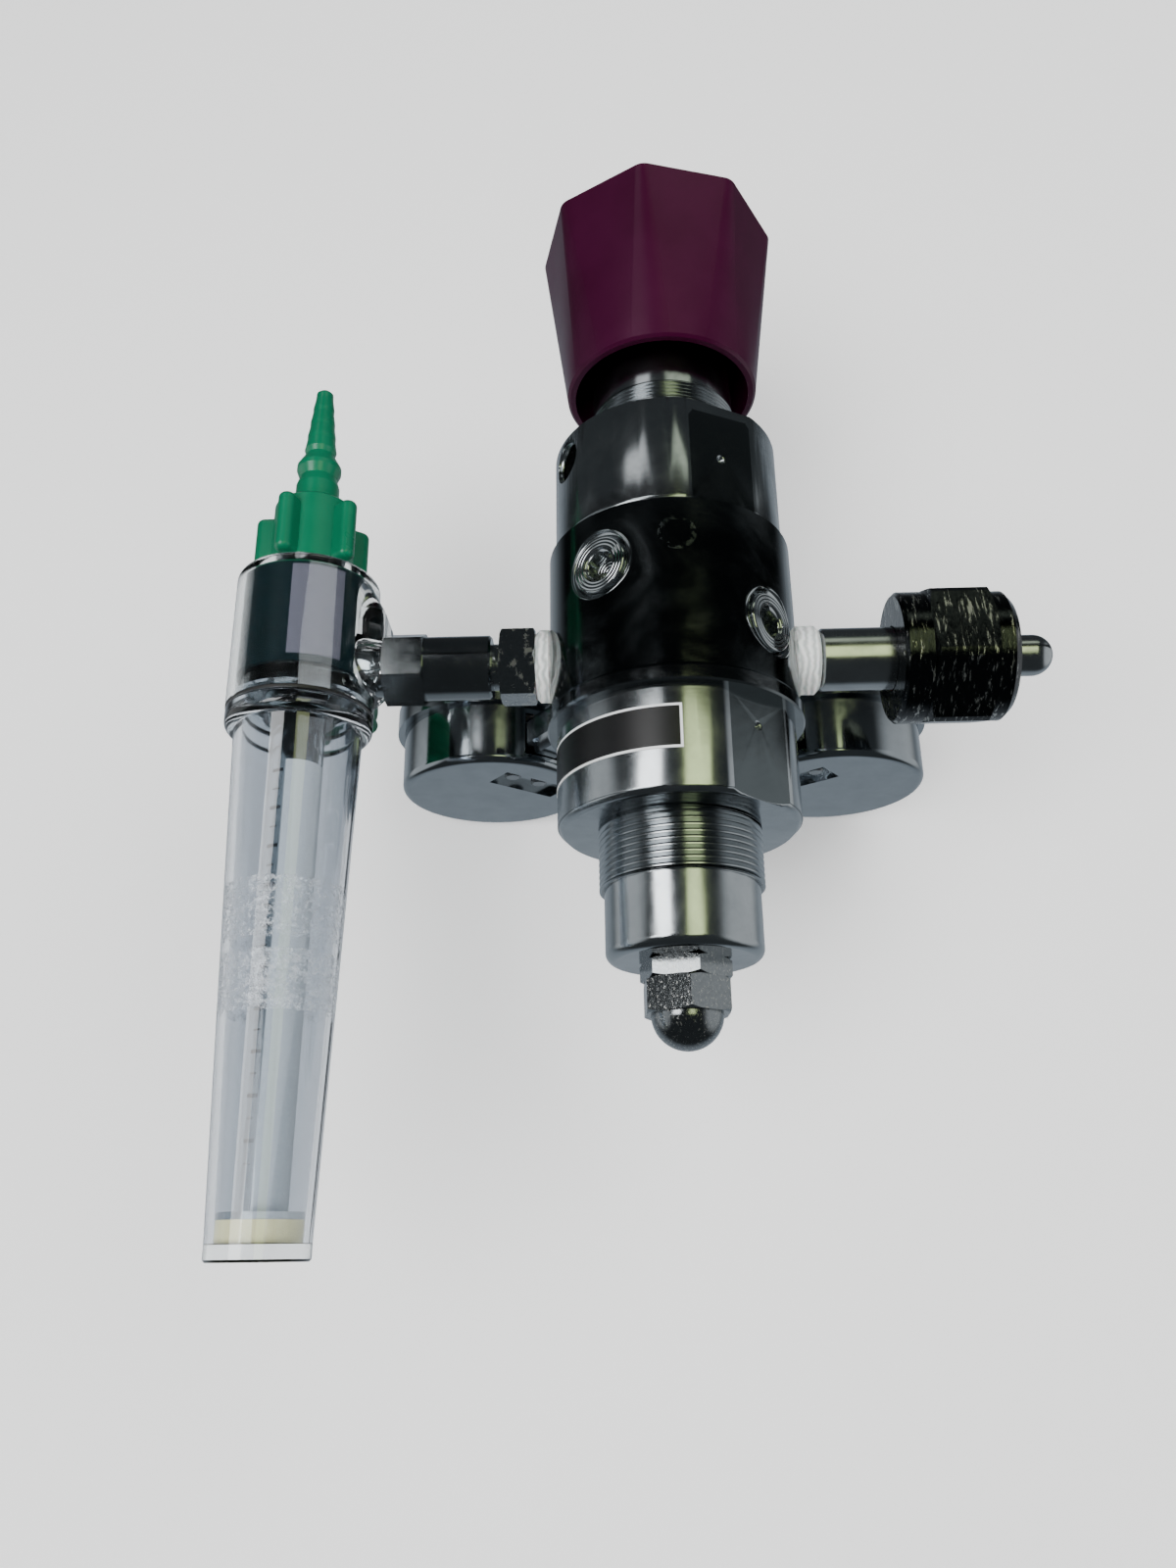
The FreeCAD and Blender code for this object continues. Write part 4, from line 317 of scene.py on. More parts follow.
def bonnet_metal(name, cutter_y):
    """Satin chrome with milled arcs and a painted shade on the flats; the cutter's centre stands at a level
    in mm.
    """
    material = turned_metal(name, "8d9295", "b1b6b9", 0.15, 0.12, 0.6, 0.0025)
    tree = material.node_tree
    shader = tree.nodes["Principled BSDF"]
    coords = add(tree, "TexCoord")
    centred = add(tree, "Mapping", {"Location": (-BODY_X * MM, 0, 0)}, {"Vector": coords.outputs["Object"]})
    parts = add(tree, "SeparateXYZ", {}, {0: centred.outputs[0]})
    across = add(tree, "CombineXYZ", {}, {"X": parts.outputs["X"], "Y": parts.outputs["Z"]})
    out = add(tree, "VectorMath", {"operation": "LENGTH"}, {0: across.outputs[0]}).outputs["Value"]
    near = add(tree, "Math", {"operation": "LESS_THAN", 1: FLAT_FARTHEST * MM}, {0: out})
    wide = add(tree, "Math", {"operation": "GREATER_THAN", 1: FLAT_NEAREST * MM}, {0: out})
    facing = add(tree, "SeparateXYZ", {}, {0: coords.outputs["Normal"]})
    tilt = add(tree, "Math", {"operation": "ABSOLUTE"}, {0: facing.outputs["Y"]})
    side = add(tree, "Math", {"operation": "LESS_THAN", 1: 0.3}, {0: tilt.outputs[0]})
    mask = add(tree, "Math", {"operation": "MULTIPLY"}, {0: near.outputs[0], 1: wide.outputs[0]})
    mask = add(tree, "Math", {"operation": "MULTIPLY"}, {0: mask.outputs[0], 1: side.outputs[0]})
    cutter = add(tree, "Mapping", {"Location": (18 * MM, -cutter_y * MM, 0)}, {"Vector": centred.outputs[0]})
    arcs = add(tree, "TexWave", {"wave_type": "RINGS", "rings_direction": "SPHERICAL", "Scale": 260.0,
                                 "Distortion": 1.5, "Detail": 2.0}, {"Vector": cutter.outputs[0]})
    milled = add(tree, "Math", {"operation": "MULTIPLY"}, {0: arcs.outputs[1], 1: mask.outputs[0]})
    relief = add(tree, "Bump", {"Strength": 0.5, "Distance": 0.006 * MM}, {
        "Height": milled.outputs[0], "Normal": shader.inputs["Normal"].links[0].from_socket})
    tree.links.new(relief.outputs[0], shader.inputs["Normal"])
    # the flats' colour is painted darker: a painted shade for the dark room that flat faces reflect
    flat_painted_shade = add(tree, "Mix", {"data_type": "RGBA", 7: linear("5a6062")}, {
        0: mask.outputs[0], 6: shader.inputs["Base Color"].links[0].from_socket})
    tree.links.new(flat_painted_shade.outputs[2], shader.inputs["Base Color"])
    return material


for piece, level in ((upper_bonnet, 58.0), (lower_bonnet, -12.0)):
    finish = bonnet_metal("satin_chrome_" + piece.name, level)
    piece.data.materials.clear()
    piece.data.materials.append(finish)
for piece in (panel_thread, neck_thread):
    piece.data.materials.append(satin_chrome)

# %% [markdown]
# Spanners have scored the hexagons: the plate is torn in short gouges along the flats. One noise, drawn out
# along them and cut off at a threshold, gives gouges that start and stop. They are rough and pale, and the
# same noise presses the surface in.

# %% Scored hexagons
def scored_metal(name, along, gouge_mm, share, depth_mm, base_dark="6f7476", base_light="999da0"):
    """Bright chrome with gouges: their stretch in X, Y and Z, their width, how much is torn, and how deep."""
    material, tree, shader = blank(name, Metallic=1.0)
    place = add(tree, "TexCoord").outputs["Object"]
    drawn = add(tree, "Mapping", {"Scale": [1 / (s * gouge_mm * MM) for s in along]}, {"Vector": place})
    tears = add(tree, "TexNoise", {"Scale": 1.0, "Detail": 5.0, "Roughness": 0.65, "Distortion": 0.4},
                {"Vector": drawn.outputs[0]})
    torn = add(tree, "MapRange", {"From Min": 1 - share, "From Max": 1.08 - share},
               {"Value": tears.outputs[0]})
    fine = add(tree, "TexNoise", {"Scale": 1500.0, "Detail": 4.0}, {"Vector": place})
    tint = add(tree, "Mix", {"data_type": "RGBA", 6: linear(base_dark), 7: linear(base_light)},
               {0: fine.outputs[0]})
    bare = add(tree, "Mix", {"data_type": "RGBA", 7: linear("c2c2bd")},
               {0: torn.outputs[0], 6: tint.outputs[2]})
    gloss = add(tree, "MapRange", {"To Min": 0.12, "To Max": 0.42}, {"Value": torn.outputs[0]})
    relief = add(tree, "Bump", {"invert": True, "Strength": 1.0, "Distance": depth_mm * MM},
                 {"Height": tears.outputs[0]})
    tree.links.new(bare.outputs[2], shader.inputs["Base Color"])
    tree.links.new(gloss.outputs[0], shader.inputs["Roughness"])
    tree.links.new(relief.outputs[0], shader.inputs["Normal"])
    return material


# the cylinder nut's chrome is painted near black (26282a, 35383a): a painted shade for the dark reflection it
# shows
dress(scored_metal("scored_chrome_cylinder_nut_painted_dark", (1.0, 7.0, 3.0), 0.9, 0.43, 0.16, "26282a", "35383a"),
      "inlet_nut")
dress(scored_metal("scored_chrome_outlet_hexagon", (1.5, 2.0, 1.5), 1.6, 0.45, 0.16), "outlet_nipple")
dress(scored_metal("ground_steel_nuts", (1.0, 1.6, 1.0), 0.5, 0.42, 0.03, "6c7072", "8c9092"),
      "lock_nut", "cap_nut")

# %% [markdown]
# The pressure knob is moulded in a burgundy plastic with a fine satin grain. Its colour is so deep that the
# gloss does most of the work: the grain is a 0.4 mm noise that only bends the surface a little.

# %% Moulded plastics
def moulded(name, dark, light, rough, grain_mm=0.4, depth_mm=0.006, **sockets):
    """An opaque moulded plastic: two close tones, a fine grain and patches of finer and coarser gloss."""
    material, tree, shader = blank(name, **sockets)
    place = add(tree, "TexCoord").outputs["Object"]
    cloud = add(tree, "TexNoise", {"Scale": 60.0, "Detail": 4.0}, {"Vector": place})
    grain = add(tree, "TexNoise", {"Scale": 1 / (grain_mm * MM), "Detail": 2.0}, {"Vector": place})
    tint = add(tree, "Mix", {"data_type": "RGBA", 6: linear(dark), 7: linear(light)}, {0: cloud.outputs[0]})
    gloss = add(tree, "MapRange", {"To Min": rough - 0.05, "To Max": rough + 0.08},
                {"Value": cloud.outputs[0]})
    relief = add(tree, "Bump", {"Strength": 0.6, "Distance": depth_mm * MM}, {"Height": grain.outputs[0]})
    tree.links.new(tint.outputs[2], shader.inputs["Base Color"])
    tree.links.new(gloss.outputs[0], shader.inputs["Roughness"])
    tree.links.new(relief.outputs[0], shader.inputs["Normal"])
    return material


knob_plastic = moulded("moulded_burgundy_nylon", "2c001b", "3b0029", 0.30, IOR=1.5, Specular_IOR_Level=0.3)
green_plastic = moulded("moulded_green_nylon", "005c3e", "006e4d", 0.28, 0.5, 0.005, IOR=1.5)
black_rubber = moulded("moulded_black_rubber", "0c0c0c", "161616", 0.5)
dress(knob_plastic, "adjusting_knob")
dress(green_plastic, "barb_nipple", "barb_nut", "flow_knob")
dress(black_rubber, "ring_seal", "delivery_diaphragm", "first_diaphragm")

# %% [markdown]
# The pipe threads are wrapped in white sealing tape. The wound film lies in overlapping turns that wander, so
# its bands are a wave with a distortion, 0.8 mm wide, and the edges of the turns stand up a little.

# %% Sealing tape
tape, tree, shader = blank("wound_white_sealing_tape", Roughness=0.55, Subsurface_Weight=0.1,
                           Subsurface_Scale=0.002)
place = add(tree, "TexCoord").outputs["Object"]
turns = add(tree, "TexWave", {"bands_direction": "X", "Scale": 190.0, "Distortion": 6.0, "Detail": 3.0,
                              "Detail Scale": 1.2}, {"Vector": place})
film = add(tree, "TexNoise", {"Scale": 500.0, "Detail": 4.0}, {"Vector": place})
tint = add(tree, "Mix", {"data_type": "RGBA", 6: linear("b9bfbd"), 7: linear("f1f3f0")},
           {0: turns.outputs[1]})
relief = add(tree, "Bump", {"Strength": 0.8, "Distance": 0.12 * MM}, {"Height": turns.outputs[1]})
soft = add(tree, "Bump", {"Strength": 0.5, "Distance": 0.08 * MM},
           {"Height": film.outputs[0], "Normal": relief.outputs[0]})
tree.links.new(tint.outputs[2], shader.inputs["Base Color"])
tree.links.new(soft.outputs[0], shader.inputs["Normal"])
dress(tape, "inlet_tape", "outlet_tape")

# %% [markdown]
# The flowmeter's shell, cover and cap are clear polycarbonate. It bends light like thick glass and it is not
# perfectly smooth. On the cover, two bands are frosted where stickers were pulled off and left their glue in
# a broken skin: there a noise decides, point by point, between clear plastic and a rough pale film.

# %% Clear plastics
def clear_plastic(name, bands=(), tint_hex="e4e9eb", rough=0.03):
    """Clear plastic; each band is low level, high level and how much of it is covered, in mm and 0 to 1."""
    material, tree, shader = blank(name, IOR=1.58, Transmission_Weight=1.0, Base_Color=linear(tint_hex))
    place = add(tree, "TexCoord").outputs["Object"]
    haze = add(tree, "TexNoise", {"Scale": 90.0, "Detail": 5.0}, {"Vector": place})
    speck = add(tree, "TexNoise", {"Scale": 700.0, "Detail": 6.0, "Roughness": 0.75}, {"Vector": place})
    height = add(tree, "SeparateXYZ", {}, {0: place}).outputs["Y"]
    film = None
    for low, high, share in bands:
        half = (high - low) / 2 * MM
        within = add(tree, "Math", {"operation": "COMPARE", 1: (low + high) / 2 * MM, 2: half}, {0: height})
        grit = add(tree, "MapRange", {"From Min": 1 - share, "From Max": 1.1 - share, "To Max": 0.45},
                   {"Value": speck.outputs[0]})
        patch = add(tree, "Math", {"operation": "MULTIPLY"}, {0: within.outputs[0], 1: grit.outputs[0]})
        patch = patch.outputs[0]
        if film is not None:
            patch = add(tree, "Math", {"operation": "MAXIMUM"}, {0: film, 1: patch}).outputs[0]
        film = patch
    clear = add(tree, "MapRange", {"To Min": rough, "To Max": rough + 0.05}, {"Value": haze.outputs[0]})
    clear = clear.outputs[0]
    if film is not None:
        pass_light = add(tree, "MapRange", {"To Min": 1.0, "To Max": 0.1}, {"Value": film}).outputs[0]
        clear = add(tree, "Math", {"operation": "MULTIPLY_ADD", 1: 0.5}, {0: film, 2: clear}).outputs[0]
        tree.links.new(pass_light, shader.inputs["Transmission Weight"])
        relief = add(tree, "Bump", {"Strength": 0.7, "Distance": 0.03 * MM}, {"Height": film})
        tree.links.new(relief.outputs[0], shader.inputs["Normal"])
    tree.links.new(clear, shader.inputs["Roughness"])
    return material


GLUE_BANDS = ((-66.0, -53.2, 0.49), (-81.0, -68.5, 0.51))
dress(clear_plastic("clear_polycarbonate_cover", GLUE_BANDS, "c4cad1"), "cover_tube")
dress(clear_plastic("clear_polycarbonate_shell"), "flowmeter_shell", "end_cap")
dress(clear_plastic("clear_acrylic_window", rough=0.01), "inlet_gauge_lens", "outlet_gauge_lens")
dress(clear_plastic("smoked_valve_block", tint_hex="7f8a8e", rough=0.08), "valve_block")

# %% [markdown]
# The metering tube is frosted below the resting float, on its front and right, and clear in a strip at the
# left, where its scale is printed. The angle round the tube's own axis parts the two, and the height ends
# the frost at the float.

# %% Metering tube
meter, tree, shader = blank("part_frosted_metering_tube", IOR=1.5)
place = add(tree, "TexCoord").outputs["Object"]
centred = add(tree, "Mapping", {"Location": (-FLOW_X * MM, 0, 0)}, {"Vector": place})
parts = add(tree, "SeparateXYZ", {}, {0: centred.outputs[0]})
swing = add(tree, "Math", {"operation": "ARCTAN2"}, {0: parts.outputs["X"], 1: parts.outputs["Z"]})
front = add(tree, "MapRange", {"From Min": math.radians(-9), "From Max": math.radians(-3)},
            {"Value": swing.outputs[0]})
past_float = add(tree, "Math", {"operation": "LESS_THAN", 1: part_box("float_ball")[0].y - 1.5 * MM},
                 {0: parts.outputs["Y"]})
milky = add(tree, "Math", {"operation": "MULTIPLY"}, {0: front.outputs[0], 1: past_float.outputs[0]})
grit = add(tree, "TexNoise", {"Scale": 1400.0, "Detail": 4.0, "Roughness": 0.7}, {"Vector": place})
tint = add(tree, "Mix", {"data_type": "RGBA", 6: linear("aab3b8"), 7: linear("dde2e4")}, {0: grit.outputs[0]})
gloss = add(tree, "MapRange", {"To Min": 0.05, "To Max": 0.5}, {"Value": milky.outputs[0]})
passing = add(tree, "MapRange", {"To Min": 1.0, "To Max": 0.30}, {"Value": milky.outputs[0]})
relief = add(tree, "Bump", {"Strength": 0.5, "Distance": 0.02 * MM}, {"Height": grit.outputs[0]})
tree.links.new(tint.outputs[2], shader.inputs["Base Color"])
tree.links.new(gloss.outputs[0], shader.inputs["Roughness"])
tree.links.new(passing.outputs[0], shader.inputs["Transmission Weight"])
tree.links.new(relief.outputs[0], shader.inputs["Normal"])
dress(meter, "metering_tube")

# %% [markdown]
# The scale's marks are printed lines, every 4.4 mm, and each second one is bolder. Each is a short arc spun
# round the tube just outside its wall, then given the thickness of a coat of ink. The tube tapers, so each
# arc's radius follows from its level. Ink, vinyl and paper differ in tone and gloss only, and one function
# makes all of them from two close tones.

# %% Scale marks on the metering tube
def plain_film(name, dark, light, scale, detail, **sockets):
    """An even film or sheet: two close tones that a noise mixes."""
    material, tree, shader = blank(name, **sockets)
    place = add(tree, "TexCoord").outputs["Object"]
    cloud = add(tree, "TexNoise", {"Scale": scale, "Detail": detail}, {"Vector": place})
    tint = add(tree, "Mix", {"data_type": "RGBA", 6: linear(dark), 7: linear(light)}, {0: cloud.outputs[0]})
    tree.links.new(tint.outputs[2], shader.inputs["Base Color"])
    return material


ink = plain_film("printed_black_ink", "0b0d10", "1d2126", 2500.0, 2.0, Roughness=0.4)
TUBE_NEAR = (-13.2, 6.1)
TUBE_FAR = (-119.6, 5.3)
FIRST_MARK = -27.0
MARK_STEP = 4.4
INK_GAP = 0.06
taper = (TUBE_FAR[1] - TUBE_NEAR[1]) / (TUBE_FAR[0] - TUBE_NEAR[0])
marks = bmesh.new()
axis_place = Vector((FLOW_X, 0, 0)) * MM
for index in range(20):
    level = FIRST_MARK - MARK_STEP * index
    bold = index % 2 == 0
    radius = TUBE_NEAR[1] + taper * (level - TUBE_NEAR[0]) + INK_GAP
    width = 0.8 if bold else 0.4
    start, sweep = (-38.0, 28.0) if bold else (-34.0, 18.0)
    ends = [marks.verts.new(axis_place + Vector((0, level + side * width / 2, radius)) * MM)
            for side in (-1, 1)]
    bmesh.ops.rotate(marks, cent=axis_place, matrix=Matrix.Rotation(math.radians(start), 3, "Y"), verts=ends)
    bmesh.ops.spin(marks, geom=ends + [marks.edges.new(ends)], cent=axis_place, axis=(0, 1, 0),
                   dvec=(0, 0, 0), angle=math.radians(sweep), steps=5, use_merge=False)
bmesh.ops.recalc_face_normals(marks, faces=marks.faces)
bmesh.ops.solidify(marks, geom=marks.faces[:], thickness=0.04 * MM)
scale_marks = finished("meter_scale_marks", marks, 30, [ink])
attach(scale_marks, "regulator")

# %% [markdown]
# Under the clear shell lies a printed sleeve in dark teal, with one blank silver plate. The print is flat, so
# the plate is only a colour and a gloss between two angles, 0 and 45 degrees, and two levels.

# %% Printed sleeve
sleeve, tree, shader = blank("printed_teal_film", Specular_IOR_Level=0.2)
place = add(tree, "TexCoord").outputs["Object"]
centred = add(tree, "Mapping", {"Location": (-FLOW_X * MM, 0, 0)}, {"Vector": place})
parts = add(tree, "SeparateXYZ", {}, {0: centred.outputs[0]})
swing = add(tree, "Math", {"operation": "ARCTAN2"}, {0: parts.outputs["X"], 1: parts.outputs["Z"]})
PLATE_HALF = math.radians(22.5)  # the plate starts at 0 degrees, so its half width is also its middle
PLATE_LEVEL, PLATE_HALF_HEIGHT = 8.6, 11.4
across = add(tree, "Math", {"operation": "COMPARE", 1: PLATE_HALF, 2: PLATE_HALF}, {0: swing.outputs[0]})
level = add(tree, "Math", {"operation": "COMPARE", 1: PLATE_LEVEL * MM, 2: PLATE_HALF_HEIGHT * MM},
            {0: parts.outputs["Y"]})
plate = add(tree, "Math", {"operation": "MULTIPLY"}, {0: across.outputs[0], 1: level.outputs[0]})
brushed = add(tree, "Mapping", {"Scale": (400, 4000, 400)}, {"Vector": place})
lines = add(tree, "TexNoise", {"Scale": 1.0, "Detail": 3.0}, {"Vector": brushed.outputs[0]})
silver = add(tree, "Mix", {"data_type": "RGBA", 6: linear("44434c"), 7: linear("5f5e69")},
             {0: lines.outputs[0]})
cloud = add(tree, "TexNoise", {"Scale": 200.0, "Detail": 4.0}, {"Vector": place})
teal = add(tree, "Mix", {"data_type": "RGBA", 6: linear("010b0e"), 7: linear("02161a")},
           {0: cloud.outputs[0]})
print_tint = add(tree, "Mix", {"data_type": "RGBA"},
                 {0: plate.outputs[0], 6: teal.outputs[2], 7: silver.outputs[2]})
gloss = add(tree, "MapRange", {"To Min": 0.35, "To Max": 0.28}, {"Value": plate.outputs[0]})
tree.links.new(print_tint.outputs[2], shader.inputs["Base Color"])
tree.links.new(gloss.outputs[0], shader.inputs["Roughness"])
dress(sleeve, "label_sleeve")

# %% [markdown]
# A black sticker with a white edge is wrapped on the lower bonnet. It is a strip spun round the bonnet, inset
# once for the edge, and given the thickness of a film. It stays blank.

# %% Blank sticker on the lower bonnet
black_film = plain_film("black_vinyl_film", "050506", "101012", 300.0, 5.0, Roughness=0.35)
white_film = plain_film("white_vinyl_film", "d8dadb", "f4f5f5", 300.0, 5.0, Roughness=0.4)
STICKER_R = 27.03
STICKER_LEVELS = (-32.4, -22.5)
STICKER_SWEEP = -118
strip = bmesh.new()
body_place = Vector((BODY_X, 0, 0)) * MM
ends = [strip.verts.new(body_place + Vector((0, level, STICKER_R)) * MM) for level in STICKER_LEVELS]
bmesh.ops.spin(strip, geom=ends + [strip.edges.new(ends)], cent=body_place, axis=(0, 1, 0), dvec=(0, 0, 0),
               angle=math.radians(STICKER_SWEEP), steps=60, use_merge=False)
bmesh.ops.recalc_face_normals(strip, faces=strip.faces)
if strip.faces[0].normal.z < 0:
    bmesh.ops.reverse_faces(strip, faces=strip.faces)
edge_faces = bmesh.ops.inset_region(strip, faces=strip.faces[:], thickness=0.55 * MM, use_boundary=True,
                                    use_even_offset=True)["faces"]
for face in edge_faces:
    face.material_index = 1
bmesh.ops.solidify(strip, geom=strip.faces[:], thickness=-0.08 * MM)
sticker = finished("blank_bonnet_sticker", strip, 40, [black_film, white_film])
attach(sticker, "regulator")

# %% [markdown]
# The float is a ball of black glass, polished, with a trace of dust. The disc at the tube's end is a porous
# cream plastic, which looks like felt from close by.

# %% Float and end disc
glass_ball, tree, shader = blank("polished_black_glass_ball", IOR=1.52, Coat_Weight=0.5)
place = add(tree, "TexCoord").outputs["Object"]
dust = add(tree, "TexNoise", {"Scale": 600.0, "Detail": 6.0}, {"Vector": place})
tint = add(tree, "Mix", {"data_type": "RGBA", 6: linear("08090b"), 7: linear("16181c")}, {0: dust.outputs[0]})
gloss = add(tree, "MapRange", {"To Min": 0.08, "To Max": 0.25}, {"Value": dust.outputs[0]})
tree.links.new(tint.outputs[2], shader.inputs["Base Color"])
tree.links.new(gloss.outputs[0], shader.inputs["Roughness"])
dress(glass_ball, "float_ball")
porous = moulded("porous_cream_plastic", "d8cf96", "ece6ba", 0.8, 0.35, 0.15)
dress(porous, "end_disc")

# %% [markdown]
# The gauges' dials are white enamel. Their marks are small flat bars set round the middle over 270 degrees,
# with seven plain numbers, and the pointers are black.

# %% Dials and pointers
enamel = moulded("white_dial_enamel", "e6e6e1", "f2f2ee", 0.35, 1.0, 0.001)
black_paint = moulded("black_pointer_paint", "0b0b0c", "151517", 0.35, 0.5, 0.002)
dress(enamel, "inlet_gauge_dial", "outlet_gauge_dial")
dress(black_paint, "inlet_gauge_pointer", "outlet_gauge_pointer")


def dial_marks(gauge):
    """Bars and numbers on one dial, printed on its face."""
    low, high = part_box(gauge + "_gauge_dial")
    middle = Vector(((low.x + high.x) / 2, high.y, (low.z + high.z) / 2))
    pointer = nodes[gauge + "_gauge_pointer"].data
    lean = sum((v.co for v in pointer.vertices), Vector()) / len(pointer.vertices) - middle
    zero = math.atan2(lean.x, lean.z)
    face = bmesh.new()
    for index in range(31):
        major = index % 5 == 0
        bar = bmesh.ops.create_cube(face, size=1.0)["verts"]
        size = (0.5 if major else 0.25, 0.05, 3.4 if major else 1.8)
        bmesh.ops.scale(face, vec=Vector(size) * MM, verts=bar)
        bmesh.ops.translate(face, vec=Vector((0, 0.02, 20.6 - size[2] / 2)) * MM, verts=bar)
        turn = zero - math.radians(9 * index)
        bmesh.ops.rotate(face, cent=(0, 0, 0), matrix=Matrix.Rotation(turn, 3, "Y"), verts=bar)
        bmesh.ops.translate(face, vec=middle, verts=bar)
    for number in range(7):
        turn = zero - math.radians(45 * number)
        curve = bpy.data.curves.new("number", "FONT")
        curve.body = str(number)
        curve.size = 3.6 * MM
        curve.extrude = 0.02 * MM
        curve.align_x = "CENTER"
        curve.align_y = "CENTER"
        word = bpy.data.objects.new("number", curve)
        bpy.context.scene.collection.objects.link(word)
        bpy.context.view_layer.update()
        mesh = bpy.data.meshes.new_from_object(word.evaluated_get(bpy.context.evaluated_depsgraph_get()))
        upright = zero - math.radians(135)
        spot = middle + Vector((math.sin(turn), 0, math.cos(turn))) * 14.2 * MM + Vector((0, 0.04, 0)) * MM
        lay_flat = Matrix.Rotation(math.radians(-90), 4, "X") @ Matrix.Rotation(math.radians(180), 4, "Z")
        mesh.transform(Matrix.Translation(spot) @ Matrix.Rotation(upright, 4, "Y") @ lay_flat)
        face.from_mesh(mesh)
        bpy.data.objects.remove(word)
    marks = finished(gauge + "_dial_marks", face, 30, [ink])
    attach(marks, "regulator")


dial_marks("inlet")
dial_marks("outlet")

# %% [markdown]
# Chrome shows its room. Here four bright cards hang over the object, two white and two greenish, and draw the
# straight bands down the bonnets. The room is pale below, which lights the faces that look down, and bright
# at the far left and right. It is grey elsewhere, but for a black belt that the middle of the body faces.
# The cards are seen only by reflections. Two lamps light the plastics and the floor, and the clear shell and
# cover let their light through to what stands inside.

# %% Room, floor and lamps
world = bpy.data.worlds.new("studio")
bpy.context.scene.world = world
world.use_nodes = True
tree = world.node_tree
ground = tree.nodes["Background"]
toward = add(tree, "SeparateXYZ", {}, {0: add(tree, "TexCoord").outputs["Generated"]})
below = add(tree, "MapRange", {"interpolation_type": "SMOOTHSTEP", "From Min": -0.38, "From Max": -0.75},
            {"Value": toward.outputs["Z"]})
left = add(tree, "MapRange", {"interpolation_type": "SMOOTHSTEP", "From Min": -0.78, "From Max": -0.94},
           {"Value": toward.outputs["X"]})
right = add(tree, "MapRange", {"interpolation_type": "SMOOTHSTEP", "From Min": 0.70, "From Max": 0.92},
            {"Value": toward.outputs["X"]})
walls = add(tree, "Math", {"operation": "MAXIMUM"}, {0: left.outputs[0], 1: right.outputs[0]})
BELT_MIDDLE = 0.485
off_belt = add(tree, "Math", {"operation": "SUBTRACT", 1: BELT_MIDDLE}, {0: toward.outputs["Y"]})
off_belt = add(tree, "Math", {"operation": "ABSOLUTE"}, {0: off_belt.outputs[0]})
beside = add(tree, "MapRange", {"interpolation_type": "SMOOTHSTEP", "From Min": 0.05, "From Max": 0.10},
             {"Value": off_belt.outputs[0]})
grey_room = add(tree, "Mix", {"data_type": "RGBA", 6: (0.012, 0.014, 0.015, 1), 7: (0.055, 0.062, 0.066, 1)},
                {0: beside.outputs[0]})
wall_share = add(tree, "Math", {"operation": "MULTIPLY"}, {0: walls.outputs[0], 1: beside.outputs[0]})
walled_room = add(tree, "Mix", {"data_type": "RGBA", 7: (0.80, 0.83, 0.85, 1)},
                  {0: wall_share.outputs[0], 6: grey_room.outputs[2]})
room = add(tree, "Mix", {"data_type": "RGBA", 7: (0.40, 0.45, 0.50, 1)},
           {0: below.outputs[0], 6: walled_room.outputs[2]})
tree.links.new(room.outputs[2], ground.inputs["Color"])
ground.inputs["Strength"].default_value = 1.0


def glowing(name, colour, strength):
    """A material that only gives light."""
    material = bpy.data.materials.new(name)
    material.use_nodes = True
    tree = material.node_tree
    tree.nodes.clear()
    light = add(tree, "Emission", {"Color": colour, "Strength": strength})
    add(tree, "OutputMaterial", {}, {"Surface": light.outputs[0]})
    return material


CARD_HEIGHT = 1000


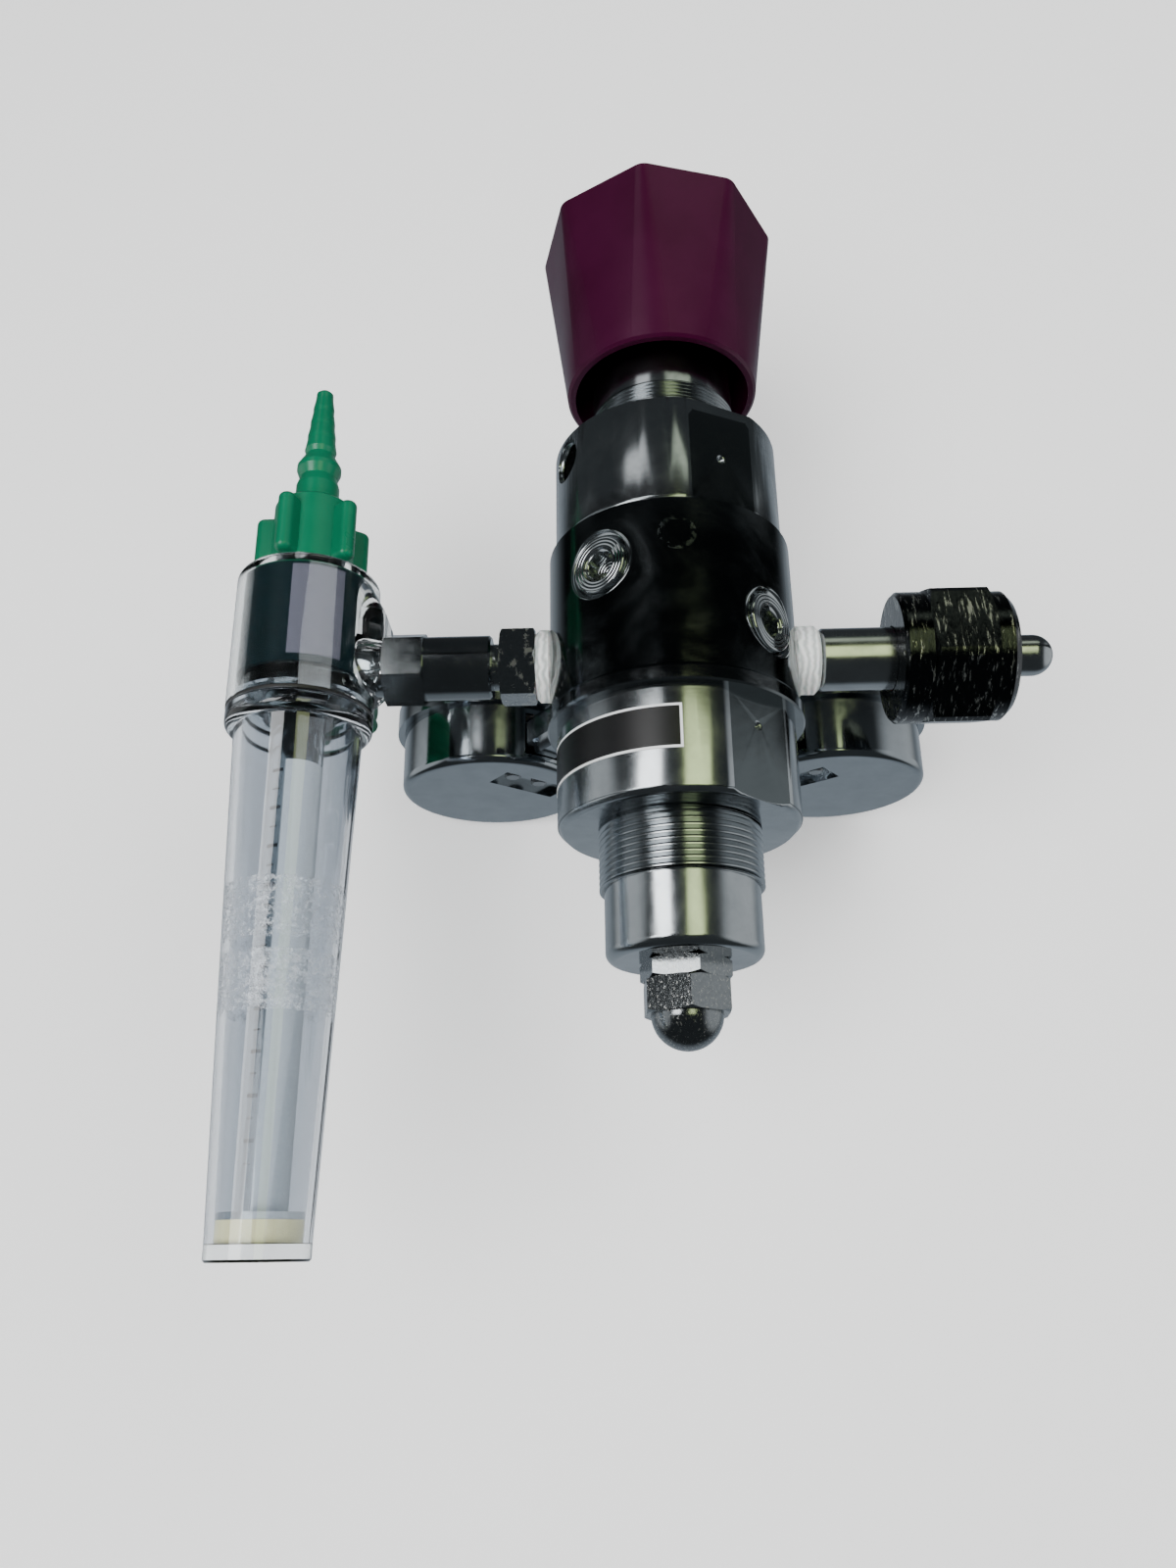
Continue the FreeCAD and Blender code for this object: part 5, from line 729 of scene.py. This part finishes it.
def card(name, corners, colour, strength):
    """A bright card a metre over the object; its corners are in mm from the body's middle."""
    strip = bmesh.new()
    bmesh.ops.create_grid(strip, x_segments=1, y_segments=1, size=1)
    strip.verts.ensure_lookup_table()
    order = sorted(strip.verts, key=lambda vert: math.atan2(vert.co.y, vert.co.x))
    for vert, (x, y) in zip(order, corners):
        vert.co = Vector((x + BODY_X, y, CARD_HEIGHT)) * MM
    piece = finished(name, strip, 30, [glowing(name + "_glow", colour, strength)])
    piece.visible_camera = False
    piece.visible_diffuse = False
    piece.visible_transmission = False
    piece.visible_shadow = False


card("white_card_low", ((-1250, -250), (-520, -250), (-260, 420), (-760, 430)), (1.0, 1.0, 1.0, 1), 7.0)
card("green_card_low", ((40, -250), (380, -250), (540, 430), (90, 430)), (0.74, 0.84, 0.42, 1), 3.2)
card("white_card_high", ((-340, 850), (-500, 1500), (-1100, 1700), (-950, 1100)), (1.0, 1.0, 1.0, 1), 1.5)
card("green_card_high", ((60, 850), (900, 1150), (1300, 1700), (200, 1500)), (0.72, 0.80, 0.62, 1), 1.4)

floor_mesh = bmesh.new()
bmesh.ops.create_grid(floor_mesh, x_segments=1, y_segments=1, size=4)
bmesh.ops.translate(floor_mesh, vec=(0, 0, cad_box[0].z), verts=floor_mesh.verts)
paper = plain_film("pale_paper_floor", "f0f0ef", "f6f6f6", 300.0, 3.0, Roughness=0.9,
                   Emission_Color=(1, 1, 1, 1), Emission_Strength=0.4)
floor = finished("floor", floor_mesh, 30, [paper])
floor.visible_glossy = False

dome_mesh = bmesh.new()
bmesh.ops.create_icosphere(dome_mesh, subdivisions=3, radius=9)
dome = finished("backdrop", dome_mesh, 60, [glowing("backdrop_glow", (0.97, 0.97, 0.97, 1), 1.6)])
dome.visible_glossy = False
dome.visible_diffuse = False
dome.visible_transmission = False
dome.visible_shadow = False


def lamp(name, place, size, power):
    """A soft square lamp that looks at the body and that no reflection shows."""
    data = bpy.data.lights.new(name, "AREA")
    data.size = size
    data.energy = power
    holder = bpy.data.objects.new(name, data)
    bpy.context.scene.collection.objects.link(holder)
    place = Vector(place)
    look = (Vector((BODY_X, 0, 0)) * MM - place).to_track_quat("-Z", "Y")
    holder.matrix_world = Matrix.Translation(place) @ look.to_matrix().to_4x4()
    holder.visible_glossy = False


lamp("key_lamp", (-0.55, -0.45, 1.25), 0.9, 26)
lamp("fill_lamp", (0.7, 0.5, 1.1), 1.2, 16)
for name in ("cover_tube", "flowmeter_shell"):
    nodes[name].visible_shadow = False
